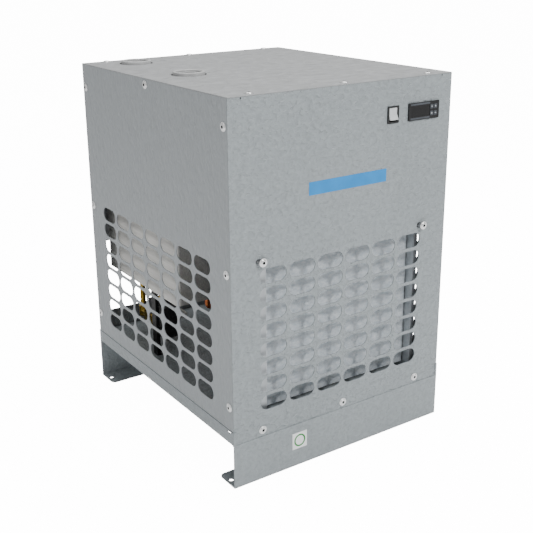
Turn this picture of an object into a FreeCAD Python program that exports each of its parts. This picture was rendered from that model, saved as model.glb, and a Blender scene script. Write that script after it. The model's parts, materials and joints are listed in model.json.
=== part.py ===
import FreeCAD, Part
import math
import os
import Sketcher

# Refrigerated air dryer: a folded sheet cabinet on a base pan, with a condenser and fan behind
# the front grille, a hermetic compressor, a heat exchanger under two air sockets, and an
# automatic condensate drain.  +X is to the right, +Y to the rear, +Z up; millimetres.

doc = FreeCAD.newDocument("AirDryer")
sheet = doc.addObject("Spreadsheet::Sheet", "Sizes")
finished = []

# ---------------------------------------------------------------- driving sizes
SIZES = {
    # cabinet
    "width": 490, "depth": 558, "height": 700, "front_stand": 8, "rear_stand": 12,
    "base_sheet": 2, "panel_sheet": 1.5, "seam_gap": 0.3, "panel_inset": 1,
    "skirt_height": 86, "floor_level": 111, "foot_depth": 54, "foot_corner": 10.5,
    "foot_hole_radius": 4.25, "foot_hole_from_side": 9.5, "foot_hole_from_face": 27,
    "tab_width": 5.5, "return_depth": 24, "notch_width": 2.5, "notch_depth": 3,
    "notch_from_side": 25, "relief_start": 10, "relief_end": 21, "relief_height": 3,
    # grilles
    "slot_length": 56, "slot_height": 28, "slot_pitch": 62.3, "row_pitch": 34.1,
    "side_columns": 7, "front_columns": 6, "grille_rows": 8, "side_grille_row": 158.5,
    "front_grille_row": 150.7, "side_grille_shift": 3, "front_grille_shift": -2.5,
    "window_side": 22, "window_bottom": 153, "window_top": 315, "window_corner": 8,
    # screws
    "screw_radius": 3, "screw_head_radius": 8, "screw_flange": 1.2, "screw_crown": 2.6,
    "screw_crown_radius": 5.8, "screw_length": 12, "socket_across": 4, "socket_depth": 1.8,
    "screw_clearance": 0.3, "screw_from_edge": 12.5, "top_screw_side": 195,
    "panel_screw_low": 156.5, "panel_screw_mid": 402.5, "panel_screw_drop": 48,
    "lip_screw_drop": 12, "base_screw_level": 98.8, "hang_screw_side": 183,
    "hang_screw_level": 417.5, "hang_slot_length": 22, "hang_slot_height": 10.8,
    "hang_spacer_radius": 4.6,
    # condenser, fan
    "fin_left": -165, "fin_right": 176, "fin_front": 31, "fin_depth": 44, "fin_bottom": 125,
    "fin_height": 288, "fin_pitch": 4.4, "fin_gap": 2.6, "fin_edge": 6, "tube_count": 12,
    "condenser_tube": 4.75, "tube_pitch": 24, "tube_fit": 0.1, "plate_sheet": 1.5,
    "plate_front": 12, "plate_depth": 74, "left_flange": 16, "right_flange": 9, "plate_ear": 20,
    "plate_gap": 1, "shroud_radius": 124, "shroud_collar": 14, "fan_radius": 116,
    "fan_hub": 24, "fan_hub_length": 26, "fan_gap": 3, "blade_count": 5, "motor_radius": 41,
    "motor_length": 58, "motor_boss": 8, "fan_shaft": 4, "shaft_length": 20, "shaft_fit": 0.06,
    "arm_width": 16, "arm_sheet": 2.5, "arm_past_shroud": 14, "clamp_wall": 3,
    # heat exchanger and air sockets
    "exchanger_left": 23, "exchanger_width": 132, "exchanger_front": 230,
    "exchanger_depth": 302, "exchanger_bottom": 268.5, "exchanger_drop": 60,
    "exchanger_corner": 9, "air_socket_outer": 30, "air_socket_bore": 23.9,
    "air_socket_stand": 6, "air_socket_gap": 3.3, "air_socket_chamfer": 1.6,
    "air_front": 273, "air_spacing": 214, "port_radius": 20, "port_depth": 30, "stand_leg": 8,
    "stand_front_x": 42, "stand_front_y": 361, "stand_rear_x": 112, "stand_rear_y": 435,
    "stand_leg_depth": 17, "stand_foot": 12, "stand_sheet": 3, "stand_beam_right": 136,
    "stand_beam_rear": 452,
    # compressor
    "shell_radius": 76, "shell_x": 102, "shell_y": 402, "shell_height": 190, "shell_flange": 4,
    "grommet_height": 13, "grommet_radius": 11, "mount_half_x": 84, "mount_half_y": 44,
    "mount_plate": 3, "compressor_bolt": 3, "mount_margin": 14, "stub_length": 30,
    "stub_in": 12, "terminal_in": 14, "terminal_cover_half": 27, "terminal_cover_wall": 3,
    "terminal_cover_low": 34, "terminal_cover_high": 100,
    # pipes
    "discharge_radius": 4, "suction_radius": 5, "liquid_radius": 3.2, "capillary_radius": 1.3,
    "suction_drop": 22, "hot_line_y": 272, "hot_line_level": 300, "tee_half": 12, "tee_wall": 2,
    "fan_switch_radius": 13, "fan_switch_length": 30, "hot_valve_side": 90,
    "hot_valve_radius": 13, "hot_valve_height": 52, "hot_valve_reach": 24, "suction_x": 97,
    "liquid_y": 122, "capillary_x": 208, "capillary_y": 330, "capillary_half": 24,
    "capillary_turns": 3, "capillary_rise": 1.2, "bend_radius": 8.5, "drier_radius": 12.5,
    "drier_length": 104, "lead_radius": 3.2,
    # drain
    "drain_pipe_radius": 6, "drain_x": 83, "drain_y": 500, "valve_level": 158,
    "valve_y": 462, "coil_y": 420, "bulkhead_x": 124, "bulkhead_level": 132,
    "bulkhead_radius": 6.5, "outlet_bore": 4.1, "outlet_depth": 16, "button_travel": 1.5,
    "drain_nut_height": 10, "drain_nut_radius": 11, "elbow_radius": 10, "elbow_arm_radius": 9,
    "ball_half": 12, "ball_neck_radius": 8, "bonnet_radius": 7, "bonnet_height": 6,
    "stem_radius": 3, "stem_fit": 0.08, "stem_height": 12, "stem_nut_radius": 5.5,
    "lever_sheet": 3, "lever_half": 6, "lever_tail": 8, "lever_reach": 29,
    "solenoid_half_x": 17, "solenoid_half_y": 18, "solenoid_half_z": 14, "solenoid_tube": 8,
    "coil_low": 20, "coil_high": 54, "timer_out": 23, "timer_width": 31, "timer_depth": 38.7,
    "interval_up": 40, "open_time_up": 18, "knob_radius": 5, "knob_bore": 5.4, "knob_stand": 3,
    "knob_length": 8, "knob_in": 14, "button_in": 30, "button_up": 15, "hose_radius": 4,
    # controls
    "control_drop": 64, "display_x": 175, "display_width": 74, "display_height": 32,
    "display_stand": 3, "display_depth": 56, "cutout_margin": 1.8, "key_travel": 0.8,
    "key_width": 7.4, "key_height": 8, "key_pitch_x": 9.2, "key_pitch_z": 12.4, "key_from_right": 13.6,
    "switch_x": 102, "switch_width": 26.3, "switch_height": 30.8, "switch_stand": 2,
    "switch_depth": 24, "rocker_half": 10.8, "rocker_width": 18.6, "rocker_gap": 0.4,
    "rocker_depth": 6, "rocker_rise": 1.2, "rocker_dip": 1.3, "rocker_tilt": 12,
    "pivot_radius": 1.2,
    # electrical box
    "box_x": 46, "box_y": 62, "box_rise": 19, "box_width": 160, "box_depth": 84,
    "box_height": 118, "box_sheet": 1.5, "arm_rise": 20, "arm_height": 44,
    "entry_left": 30, "entry_right": 20, "entry_depth": 20,
    "terminal_count": 8, "terminal_pitch": 15, "terminal_width": 12, "capacitor_radius": 20,
    "capacitor_length": 90, "gland_x": 186, "gland_level": 132,
    "gland_radius": 8, "gland_bore": 4.5,
    # badge and round-mark label
    "badge_x": 4, "badge_rise": 1.25, "badge_width": 174, "badge_height": 23.5,
    "label_x": -101.5, "label_level": 51.6, "label_size": 33, "label_thick": 0.3,
}
for row, (alias, number) in enumerate(SIZES.items(), start=1):
    cell = f"A{row}"
    sheet.set(cell, str(number))
    sheet.setAlias(cell, alias)
doc.recompute()


class Size:
    """A length: its number, and the sheet expression that gives the same number."""

    def __init__(self, number, text):
        self.number = float(number)
        self.text = text

    def __float__(self):
        return self.number

    def __add__(self, other):
        return Size(self.number + float(other), f"({self.text} + {as_size(other).text})")

    def __radd__(self, other):
        return as_size(other) + self

    def __sub__(self, other):
        return Size(self.number - float(other), f"({self.text} - {as_size(other).text})")

    def __rsub__(self, other):
        return as_size(other) - self

    def __mul__(self, other):
        return Size(self.number * float(other), f"({self.text} * {as_size(other).text})")

    def __rmul__(self, other):
        return as_size(other) * self

    def __truediv__(self, other):
        return Size(self.number / float(other), f"({self.text} / {as_size(other).text})")

    def __neg__(self):
        return Size(-self.number, f"(-1 * {self.text})")


def as_size(value):
    if isinstance(value, Size):
        return value
    return Size(value, f"({float(value)})")


def size(alias):
    return Size(sheet.get(alias), f"Sizes.{alias}")


# ---------------------------------------------------------------- modelling helpers
def bind(target, path, value):
    target.setExpression(path, as_size(value).text)


def place(target, x, y, z, axis=(0, 0, 1), angle=0):
    turn = FreeCAD.Rotation(FreeCAD.Vector(*axis), angle)
    target.Placement = FreeCAD.Placement(FreeCAD.Vector(float(x), float(y), float(z)), turn)
    bind(target, "Placement.Base.x", x)
    bind(target, "Placement.Base.y", y)
    bind(target, "Placement.Base.z", z)
    return target


def finish(piece, label):
    piece.Label = label
    finished.append(piece)
    return piece


def new_body(name):
    return doc.addObject("PartDesign::Body", name)


PLANES = {"top": "XY_Plane", "front": "XZ_Plane", "side": "YZ_Plane"}
view_of = {}


def sketch_on(body, view, offset, name):
    """A sketch on an origin plane moved by offset along +Z (top), +Y (front) or +X (side)."""
    plane = next(item for item in body.Origin.OriginFeatures if item.Role == PLANES[view])
    sketch = body.newObject("Sketcher::SketchObject", name)
    sketch.AttachmentSupport = [(plane, "")]
    sketch.MapMode = "FlatFace"
    bind(sketch, "AttachmentOffset.Base.z", -as_size(offset) if view == "front" else offset)
    view_of[sketch.Name] = view
    return sketch


def constrain(sketch, items):
    """items: (constraint, size or None) pairs, added together and then bound to their sizes."""
    first = sketch.ConstraintCount
    sketch.addConstraint([constraint for constraint, _ in items])
    for step, (_, value) in enumerate(items):
        if isinstance(value, Size):
            bind(sketch, f"Constraints[{first + step}]", value)


def point_at(geometry, point, u, v):
    return [
        (Sketcher.Constraint("DistanceX", geometry, point, float(u)), u),
        (Sketcher.Constraint("DistanceY", geometry, point, float(v)), v),
    ]


def polygon(sketch, points):
    first = sketch.GeometryCount
    count = len(points)
    corners = [FreeCAD.Vector(float(u), float(v), 0) for u, v in points]
    items = []
    for step in range(count):
        sketch.addGeometry(Part.LineSegment(corners[step], corners[(step + 1) % count]))
    for step, (u, v) in enumerate(points):
        follower = first + (step + 1) % count
        items.append((Sketcher.Constraint("Coincident", first + step, 2, follower, 1), None))
        items += point_at(first + step, 1, u, v)
    constrain(sketch, items)
    return sketch


def rectangle(sketch, u0, v0, u1, v1):
    return polygon(sketch, [(u0, v0), (u1, v0), (u1, v1), (u0, v1)])


def circle(sketch, u, v, radius):
    index = sketch.GeometryCount
    centre = FreeCAD.Vector(float(u), float(v), 0)
    sketch.addGeometry(Part.Circle(centre, FreeCAD.Vector(0, 0, 1), float(radius)))
    size_of = (Sketcher.Constraint("Radius", index, float(radius)), radius)
    constrain(sketch, point_at(index, 3, u, v) + [size_of])
    return sketch


def obround(sketch, u, v, length, height):
    """A slot with round ends, lying along the sketch's first axis."""
    first = sketch.GeometryCount
    radius = as_size(height) / 2
    reach = (as_size(length) - height) / 2
    left, right = as_size(u) - reach, as_size(u) + reach
    low, high = float(v) - float(radius), float(v) + float(radius)
    normal = FreeCAD.Vector(0, 0, 1)
    near = Part.Circle(FreeCAD.Vector(float(right), float(v), 0), normal, float(radius))
    far = Part.Circle(FreeCAD.Vector(float(left), float(v), 0), normal, float(radius))
    quarter = math.pi / 2
    sketch.addGeometry([
        Part.LineSegment(FreeCAD.Vector(float(left), high, 0), FreeCAD.Vector(float(right), high, 0)),
        Part.ArcOfCircle(near, -quarter, quarter),
        Part.LineSegment(FreeCAD.Vector(float(right), low, 0), FreeCAD.Vector(float(left), low, 0)),
        Part.ArcOfCircle(far, quarter, 3 * quarter),
    ])
    make = Sketcher.Constraint
    constrain(sketch, [
        (make("Tangent", first, 2, first + 1, 2), None),
        (make("Tangent", first + 1, 1, first + 2, 1), None),
        (make("Tangent", first + 2, 2, first + 3, 2), None),
        (make("Tangent", first + 3, 1, first, 1), None),
        (make("Horizontal", first), None),
        (make("Equal", first + 1, first + 3), None),
        (make("Radius", first + 1, float(radius)), radius),
        (make("DistanceX", first + 3, 3, float(left)), left),
        (make("DistanceY", first + 3, 3, float(v)), v),
        (make("DistanceX", first + 1, 3, float(right)), right),
    ])
    return sketch


def pad(body, sketch, length):
    feature = body.newObject("PartDesign::Pad", f"{sketch.Name}_pad")
    feature.Profile = sketch
    feature.Reversed = view_of[sketch.Name] == "front"
    bind(feature, "Length", length)
    return feature


def pocket(body, sketch, length):
    feature = body.newObject("PartDesign::Pocket", f"{sketch.Name}_cut")
    feature.Profile = sketch
    feature.Reversed = view_of[sketch.Name] != "front"
    bind(feature, "Length", length)
    return feature


def repeat(body, features, sketch, axis, spacing, count, label):
    pattern = body.newObject("PartDesign::LinearPattern", label)
    pattern.Originals = features
    pattern.Direction = (sketch, [axis])
    pattern.Mode = "Spacing"
    bind(pattern, "Offset", spacing)
    bind(pattern, "Occurrences", count)
    body.Tip = pattern
    return pattern


def revolve(body, sketch):
    feature = body.newObject("PartDesign::Revolution", f"{sketch.Name}_turn")
    feature.Profile = sketch
    feature.ReferenceAxis = (sketch, ["V_Axis"])
    feature.Angle = 360
    return feature


def fillet(body, feature, radius, test):
    """Rounds the edges of a feature whose two end points both pass the test."""
    doc.recompute()
    names = []
    for index, edge in enumerate(feature.Shape.Edges, start=1):
        ends = [vertex.Point for vertex in edge.Vertexes]
        if len(ends) == 2 and test(ends[0], ends[1]):
            names.append(f"Edge{index}")
    rounded = body.newObject("PartDesign::Fillet", f"{feature.Name}_round")
    rounded.Base = (feature, names)
    bind(rounded, "Radius", radius)
    return rounded


def near(one, other, reach=0.01):
    return abs(float(one) - float(other)) < reach


def upright(a, b):
    return near(a.x, b.x) and near(a.y, b.y)


def along_y(a, b):
    return near(a.x, b.x) and near(a.z, b.z)


def box(name, x0, y0, z0, x1, y1, z1):
    solid = doc.addObject("Part::Box", name)
    bind(solid, "Length", as_size(x1) - x0)
    bind(solid, "Width", as_size(y1) - y0)
    bind(solid, "Height", as_size(z1) - z0)
    return place(solid, x0, y0, z0)


TURNS = {"x": ((0, 1, 0), 90), "y": ((1, 0, 0), -90), "z": ((0, 0, 1), 0)}


def rod(name, radius, length, x, y, z, direction="z"):
    solid = doc.addObject("Part::Cylinder", name)
    bind(solid, "Radius", radius)
    bind(solid, "Height", length)
    return place(solid, x, y, z, *TURNS[direction])


def fuse(name, solids):
    joined = doc.addObject("Part::MultiFuse", name)
    joined.Shapes = solids
    joined.Refine = True
    return joined


def cut(name, base, tool):
    result = doc.addObject("Part::Cut", name)
    result.Base = base
    result.Tool = tool
    return result


def group(name, pieces):
    compound = doc.addObject("Part::Compound", name)
    compound.Links = pieces
    return compound


def copies(name, source, places):
    """Copies of one solid; each place is (x, y, z, axis, angle)."""
    links = []
    for index, (x, y, z, axis, angle) in enumerate(places, start=1):
        link = doc.addObject("App::Link", f"{name}_{index}")
        link.LinkedObject = source
        links.append(place(link, x, y, z, axis, angle))
    return finish(group(name, links), name)


def run(start, end, radius):
    return Part.makeCylinder(float(radius), (end - start).Length, start, end - start)


def tube_along(label, points, radius, bend):
    """A round pipe: straight runs, and a tangent bend at each corner between them."""
    route = [FreeCAD.Vector(*(float(value) for value in point)) for point in points]
    pieces = []
    length = 0
    start = route[0]
    for before, corner, after in zip(route, route[1:], route[2:]):
        come = (corner - before).normalize()
        leave = (after - corner).normalize()
        turn = come.getAngle(leave)
        reach = float(bend) * math.tan(turn / 2)
        enter = corner - come * reach
        if (enter - start).Length > 1e-6:
            pieces.append(run(start, enter, radius))
            length += (enter - start).Length
        centre = corner + (leave - come).normalize() * (float(bend) / math.cos(turn / 2))
        ring = Part.Circle(enter, come, float(radius)).toShape()
        section = Part.Face(Part.Wire([ring]))
        pieces.append(section.revolve(centre, come.cross(leave), math.degrees(turn)))
        length += float(bend) * turn
        start = corner + leave * reach
    pieces.append(run(start, route[-1], radius))
    length += (route[-1] - start).Length
    solid = pieces[0].fuse(pieces[1:]).removeSplitter()
    expected = math.pi * float(radius) ** 2 * length
    if abs(solid.Volume - expected) > 0.01 * expected:
        raise RuntimeError(f"{label}: pipe volume {solid.Volume:.0f}, expected {expected:.0f}")
    return solid.Solids[0]


def tube(label, routes, radius, bend):
    """One node that holds a pipe for each route."""
    pipes = [tube_along(label, points, radius, bend) for points in routes]
    piece = doc.addObject("Part::Feature", label)
    piece.Shape = pipes[0] if len(pipes) == 1 else Part.makeCompound(pipes)
    return finish(piece, label)


# ---------------------------------------------------------------- shared places
wall = size("panel_sheet")
inset = size("panel_inset")
gap = size("seam_gap")
left = -size("width") / 2
right = size("width") / 2
front = (size("front_stand") - size("rear_stand") - size("depth")) / 2
rear = front + size("depth")
floor_level = size("floor_level")
cover_under = size("height") - wall
panel_top = cover_under - gap
panel_left = left + inset                   # outer faces of the four panels
panel_right = right - inset
panel_front = front + inset
panel_rear = rear - inset
face_inside = panel_front + wall
back_inside = panel_rear - wall
joggle = inset + wall + gap                 # the base steps in behind the front and rear panels
return_left = panel_left + wall + gap       # panel returns sit just inside the side panels
return_right = panel_right - wall - gap
screw_hole = size("screw_radius") + size("screw_clearance")
edge_screw_front = panel_front + size("screw_from_edge")
edge_screw_rear = panel_rear - size("screw_from_edge")
hang_level = size("hang_screw_level")
hang_side = size("hang_screw_side")
side_levels = [size("panel_screw_low"), size("panel_screw_mid"),
               size("height") - size("panel_screw_drop")]
lip_level = size("height") - size("lip_screw_drop")
control_level = size("height") - size("control_drop")


def across(x):
    """X of a place measured from the cabinet's left face."""
    return left + x


def back(y):
    """Y of a place measured from the cabinet's front face."""
    return front + y


# ---------------------------------------------------------------- base pan
def make_base_pan():
    t = size("base_sheet")
    skirt = size("skirt_height")
    foot = size("foot_depth")
    body = new_body("base_pan")
    outline = sketch_on(body, "side", left, "pan_outline")
    polygon(outline, [
        (front + foot, 0), (front, 0), (front, skirt), (front + joggle, skirt),
        (front + joggle, floor_level), (rear - joggle, floor_level), (rear - joggle, skirt),
        (rear, skirt), (rear, 0), (rear - foot, 0), (rear - foot, t), (rear - t, t),
        (rear - t, skirt - t), (rear - joggle - t, skirt - t),
        (rear - joggle - t, floor_level - t), (front + joggle + t, floor_level - t),
        (front + joggle + t, skirt - t), (front + t, skirt - t), (front + t, t),
        (front + foot, t),
    ])
    folded = pad(body, outline, right - left)
    fillet(body, folded, size("foot_corner"), lambda a, b: upright(a, b) and (
        near(a.y, front + foot) or near(a.y, rear - foot)) and max(a.z, b.z) < float(t) + 0.01)
    for index, edge in enumerate((left, right - t)):
        flange = sketch_on(body, "side", edge, f"side_flange_{index}")
        under = floor_level - t
        slot_low = under - size("relief_height")
        slot_start, slot_end = back(size("relief_start")), back(size("relief_end"))
        polygon(flange, [
            (front + t, skirt), (rear - t, skirt), (rear - t, under), (slot_end, under),
            (slot_end, slot_low), (slot_start, slot_low), (slot_start, under), (front + t, under),
        ])
        pad(body, flange, t)
    for index, start in enumerate((left, right - size("tab_width"))):
        tab = sketch_on(body, "front", front, f"corner_tab_{index}")
        rectangle(tab, start, skirt - t, start + size("tab_width"), floor_level + 1)
        pad(body, tab, t)
        tab = sketch_on(body, "front", rear - t, f"rear_tab_{index}")
        rectangle(tab, start, skirt - t, start + size("tab_width"), floor_level + 1)
        pad(body, tab, t)
    holes = sketch_on(body, "top", 0, "foot_holes")
    for x in (left + size("foot_hole_from_side"), right - size("foot_hole_from_side")):
        for y in (front + size("foot_hole_from_face"), rear - size("foot_hole_from_face")):
            circle(holes, x, y, size("foot_hole_radius"))
    pocket(body, holes, t)
    low = sketch_on(body, "front", front, "pan_screw_holes")
    for x in (-hang_side, as_size(0), hang_side):
        circle(low, x, size("base_screw_level"), screw_hole)
    pocket(body, low, size("depth"))
    bolts = sketch_on(body, "top", floor_level - t, "compressor_bolt_holes")
    for x, y in compressor_mounts():
        circle(bolts, x, y, size("compressor_bolt") + gap)
    pocket(body, bolts, t)
    finish(body, "base_pan")


def compressor_mounts():
    places = []
    for side in (-1, 1):
        for end in (-1, 1):
            places.append((size("shell_x") + size("mount_half_x") * side,
                           back(size("shell_y")) + size("mount_half_y") * end))
    return places


# ---------------------------------------------------------------- cabinet panels
def make_side_panel(label, outer, inner, tag):
    """A flat side sheet with a short inward return at its foot."""
    body = new_body(label)
    low = floor_level + gap * 3
    y0, y1 = face_inside + gap, back_inside - gap
    start = outer if float(outer) < 0 else inner
    face = sketch_on(body, "side", start, f"{tag}_face")
    rectangle(face, y0, low, y1, panel_top)
    pad(body, face, wall)
    foot = sketch_on(body, "top", low, f"{tag}_foot")
    turned = size("return_depth") / 2
    ends = (back(size("plate_front")) + size("return_depth"), rear - size("return_depth") * 2)
    if float(outer) < 0:
        rectangle(foot, inner, ends[0], inner + turned, ends[1])
    else:
        rectangle(foot, inner - turned, ends[0], inner, ends[1])
    pad(body, foot, wall)
    slots = sketch_on(body, "side", start, f"{tag}_slots")
    first = size("side_grille_shift") - size("slot_pitch") * (SIZES["side_columns"] - 1) / 2
    middle = (front + rear) / 2
    for column in range(SIZES["side_columns"]):
        obround(slots, middle + first + size("slot_pitch") * column, size("side_grille_row"),
                size("slot_length"), size("slot_height"))
    row = pocket(body, slots, wall)
    holes = sketch_on(body, "side", start, f"{tag}_holes")
    for y, z in side_screw_places():
        circle(holes, y, z, screw_hole)
    pocket(body, holes, wall)
    repeat(body, [row], slots, "V_Axis", size("row_pitch"), size("grille_rows"), f"{tag}_grille")
    finish(body, label)


def side_screw_places():
    places = [(y, z) for z in side_levels for y in (edge_screw_front, edge_screw_rear)]
    return places + [((front + rear) / 2, lip_level)]


def folded_panel(body, tag, face_from, returns_from, top_from):
    """A flat face with two side returns and a top return turned into the cabinet."""
    reach = size("return_depth")
    face = sketch_on(body, "front", face_from, f"{tag}_face")
    step = size("tab_width") + gap
    foot = size("skirt_height") + gap
    tab_top = floor_level + 1 + gap
    polygon(face, [
        (left + step, foot), (right - step, foot), (right - step, tab_top),
        (panel_right, tab_top), (panel_right, panel_top), (panel_left, panel_top),
        (panel_left, tab_top), (left + step, tab_top),
    ])
    pad(body, face, wall)
    sides = sketch_on(body, "top", floor_level + gap * 3, f"{tag}_returns")
    rectangle(sides, return_left, returns_from, return_left + wall, returns_from + reach)
    rectangle(sides, return_right - wall, returns_from, return_right, returns_from + reach)
    pad(body, sides, panel_top - floor_level - gap * 3)
    top = sketch_on(body, "top", panel_top - wall, f"{tag}_top")
    rectangle(top, return_left, top_from, return_right, top_from + reach)
    pad(body, top, wall)
    holes = sketch_on(body, "top", panel_top - wall, f"{tag}_top_holes")
    y = edge_screw_front if float(face_from) < 0 else edge_screw_rear
    for x in (-size("top_screw_side"), as_size(0), size("top_screw_side")):
        circle(holes, x, y, screw_hole)
    pocket(body, holes, wall)
    tapped = sketch_on(body, "side", return_left, f"{tag}_side_holes")
    for z in side_levels:
        circle(tapped, y, z, screw_hole)
    pocket(body, tapped, return_right - return_left)
    low = sketch_on(body, "front", face_from, f"{tag}_low_holes")
    for x in (-hang_side, as_size(0), hang_side):
        circle(low, x, size("base_screw_level"), screw_hole)
    pocket(body, low, wall)


def make_front_panel():
    body = new_body("front_panel")
    folded_panel(body, "front", panel_front, face_inside, face_inside)
    notches = sketch_on(body, "front", panel_front, "bend_notches")
    for x in (panel_left + size("notch_from_side"), panel_right - size("notch_from_side")):
        half = size("notch_width") / 2
        rectangle(notches, x - half, panel_top - size("notch_depth"), x + half, panel_top)
    pocket(body, notches, wall)
    controls = sketch_on(body, "front", panel_front, "control_cutouts")
    for x, wide, high in ((size("display_x"), size("display_width"), size("display_height")),
                          (size("switch_x"), size("switch_width"), size("switch_height"))):
        body_half_x = wide / 2 - size("cutout_margin")
        body_half_z = high / 2 - size("cutout_margin")
        level = control_level
        rectangle(controls, x - body_half_x, level - body_half_z,
                  x + body_half_x, level + body_half_z)
    pocket(body, controls, wall)
    hang = sketch_on(body, "front", panel_front, "hang_slots")
    for x in (-hang_side, hang_side):
        obround(hang, x, hang_level, size("hang_slot_length"), size("hang_slot_height"))
    pocket(body, hang, wall)
    slots = sketch_on(body, "front", panel_front, "front_slots")
    first = size("front_grille_shift") - size("slot_pitch") * (SIZES["front_columns"] - 1) / 2
    for column in range(SIZES["front_columns"]):
        obround(slots, first + size("slot_pitch") * column, size("front_grille_row"),
                size("slot_length"), size("slot_height"))
    row = pocket(body, slots, wall)
    repeat(body, [row], slots, "V_Axis", size("row_pitch"), size("grille_rows"), "front_grille")
    finish(body, "front_panel")


def make_rear_panel():
    body = new_body("rear_panel")
    start = back_inside - size("return_depth")
    folded_panel(body, "rear", back_inside, start, start)
    window = sketch_on(body, "front", back_inside, "exhaust_window")
    rectangle(window, left + size("window_side"), size("window_bottom"),
              right - size("window_side"), size("window_top"))
    opened = pocket(body, window, wall)
    fillet(body, opened, size("window_corner"), lambda a, b: along_y(a, b) and near(
        abs(a.x), right - size("window_side")) and (
        near(a.z, size("window_bottom")) or near(a.z, size("window_top"))))
    holes = sketch_on(body, "front", back_inside, "service_holes")
    circle(holes, across(size("bulkhead_x")), size("bulkhead_level"),
           size("bulkhead_radius") + gap)
    circle(holes, size("gland_x"), size("gland_level"), size("gland_radius") + gap)
    pocket(body, holes, wall)
    finish(body, "rear_panel")


def air_places():
    x = across(size("exchanger_left") + size("exchanger_width") / 2)
    return [(x, back(size("air_front"))), (x, back(size("air_front") + size("air_spacing")))]


def make_top_cover():
    body = new_body("top_cover")
    plate = sketch_on(body, "top", cover_under, "cover_plate")
    rectangle(plate, panel_left, panel_front, panel_right, panel_rear)
    pad(body, plate, wall)
    lips = sketch_on(body, "front", face_inside + size("return_depth") + gap * 2, "cover_lips")
    drop = size("lip_screw_drop") * 2
    rectangle(lips, return_left, cover_under - drop, return_left + wall, cover_under)
    rectangle(lips, return_right - wall, cover_under - drop, return_right, cover_under)
    pad(body, lips, size("depth") - (joggle + size("return_depth") + gap) * 2)
    tapped = sketch_on(body, "side", return_left, "lip_holes")
    circle(tapped, (front + rear) / 2, lip_level, screw_hole)
    pocket(body, tapped, return_right - return_left)
    holes = sketch_on(body, "top", cover_under, "cover_holes")
    for x, y in air_places():
        circle(holes, x, y, size("air_socket_outer") + size("air_socket_gap"))
    for x in (-size("top_screw_side"), as_size(0), size("top_screw_side")):
        for y in (edge_screw_front, edge_screw_rear):
            circle(holes, x, y, screw_hole)
    pocket(body, holes, wall)
    finish(body, "top_cover")


# ---------------------------------------------------------------- cabinet screws
def make_screw(name, length):
    """A flanged button-head screw pointing down, its seat at the origin, with a hex socket."""
    body = new_body(name)
    flange = size("screw_flange")
    crown = size("screw_crown")
    outline = sketch_on(body, "front", 0, f"{name}_outline")
    polygon(outline, [
        (0, -as_size(length)), (size("screw_radius"), -as_size(length)),
        (size("screw_radius"), 0), (size("screw_head_radius"), 0),
        (size("screw_head_radius"), flange * 0.6), (size("screw_crown_radius"), flange),
        (size("screw_crown_radius") * 0.92, crown * 0.8), (size("screw_crown_radius") * 0.7, crown),
        (0, crown),
    ])
    revolve(body, outline)
    socket = sketch_on(body, "top", crown - size("socket_depth"), f"{name}_socket")
    corner = size("socket_across") / math.sqrt(3)
    angles = [math.radians(60 * step) for step in range(6)]
    polygon(socket, [(corner * math.cos(angle), corner * math.sin(angle)) for angle in angles])
    pocket(body, socket, size("socket_depth"))
    return body


FACING = {
    "up": ((0, 0, 1), 0), "left": ((0, 1, 0), -90), "right": ((0, 1, 0), 90),
    "front": ((1, 0, 0), 90), "rear": ((1, 0, 0), -90),
}


def make_screws():
    screw = make_screw("cabinet_screw", size("screw_length"))
    long_screw = make_screw("hang_screw", size("plate_front") + size("screw_length") / 2)
    row = (-hang_side, as_size(0), hang_side)
    low = size("base_screw_level")
    places = [(x, y, size("height"), *FACING["up"]) for y in (edge_screw_front, edge_screw_rear)
              for x in (-size("top_screw_side"), as_size(0), size("top_screw_side"))]
    places += [(panel_left, y, z, *FACING["left"]) for y, z in side_screw_places()]
    places += [(panel_right, y, z, *FACING["right"]) for y, z in side_screw_places()]
    places += [(x, panel_front, low, *FACING["front"]) for x in row]
    places += [(x, panel_rear, low, *FACING["rear"]) for x in row]
    copies("cabinet_screws", screw, places)
    copies("condenser_screws", long_screw,
           [(x, boss_front, hang_level, *FACING["front"]) for x in (-hang_side, hang_side)])


# ---------------------------------------------------------------- condenser and fan
fin_left = size("fin_left")
fin_right = size("fin_right")
fin_front = back(size("fin_front"))
fin_rear = fin_front + size("fin_depth")
fin_middle_y = fin_front + size("fin_depth") / 2
fin_middle_x = (fin_left + fin_right) / 2
fan_level = size("fin_bottom") + size("fin_height") / 2
tube_low = fan_level - size("tube_pitch") * (SIZES["tube_count"] - 1) / 2
tube_high = fan_level + size("tube_pitch") * (SIZES["tube_count"] - 1) / 2
plate_front = back(size("plate_front"))
plate_rear = plate_front + size("plate_depth")
plate_inner_left = fin_left - size("plate_gap")
plate_inner_right = fin_right + size("plate_gap")
plate_top = size("fin_bottom") + size("fin_height") + size("plate_ear")
shroud_rear = plate_rear + size("plate_sheet")
boss_front = front - size("front_stand") + size("screw_crown")


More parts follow.
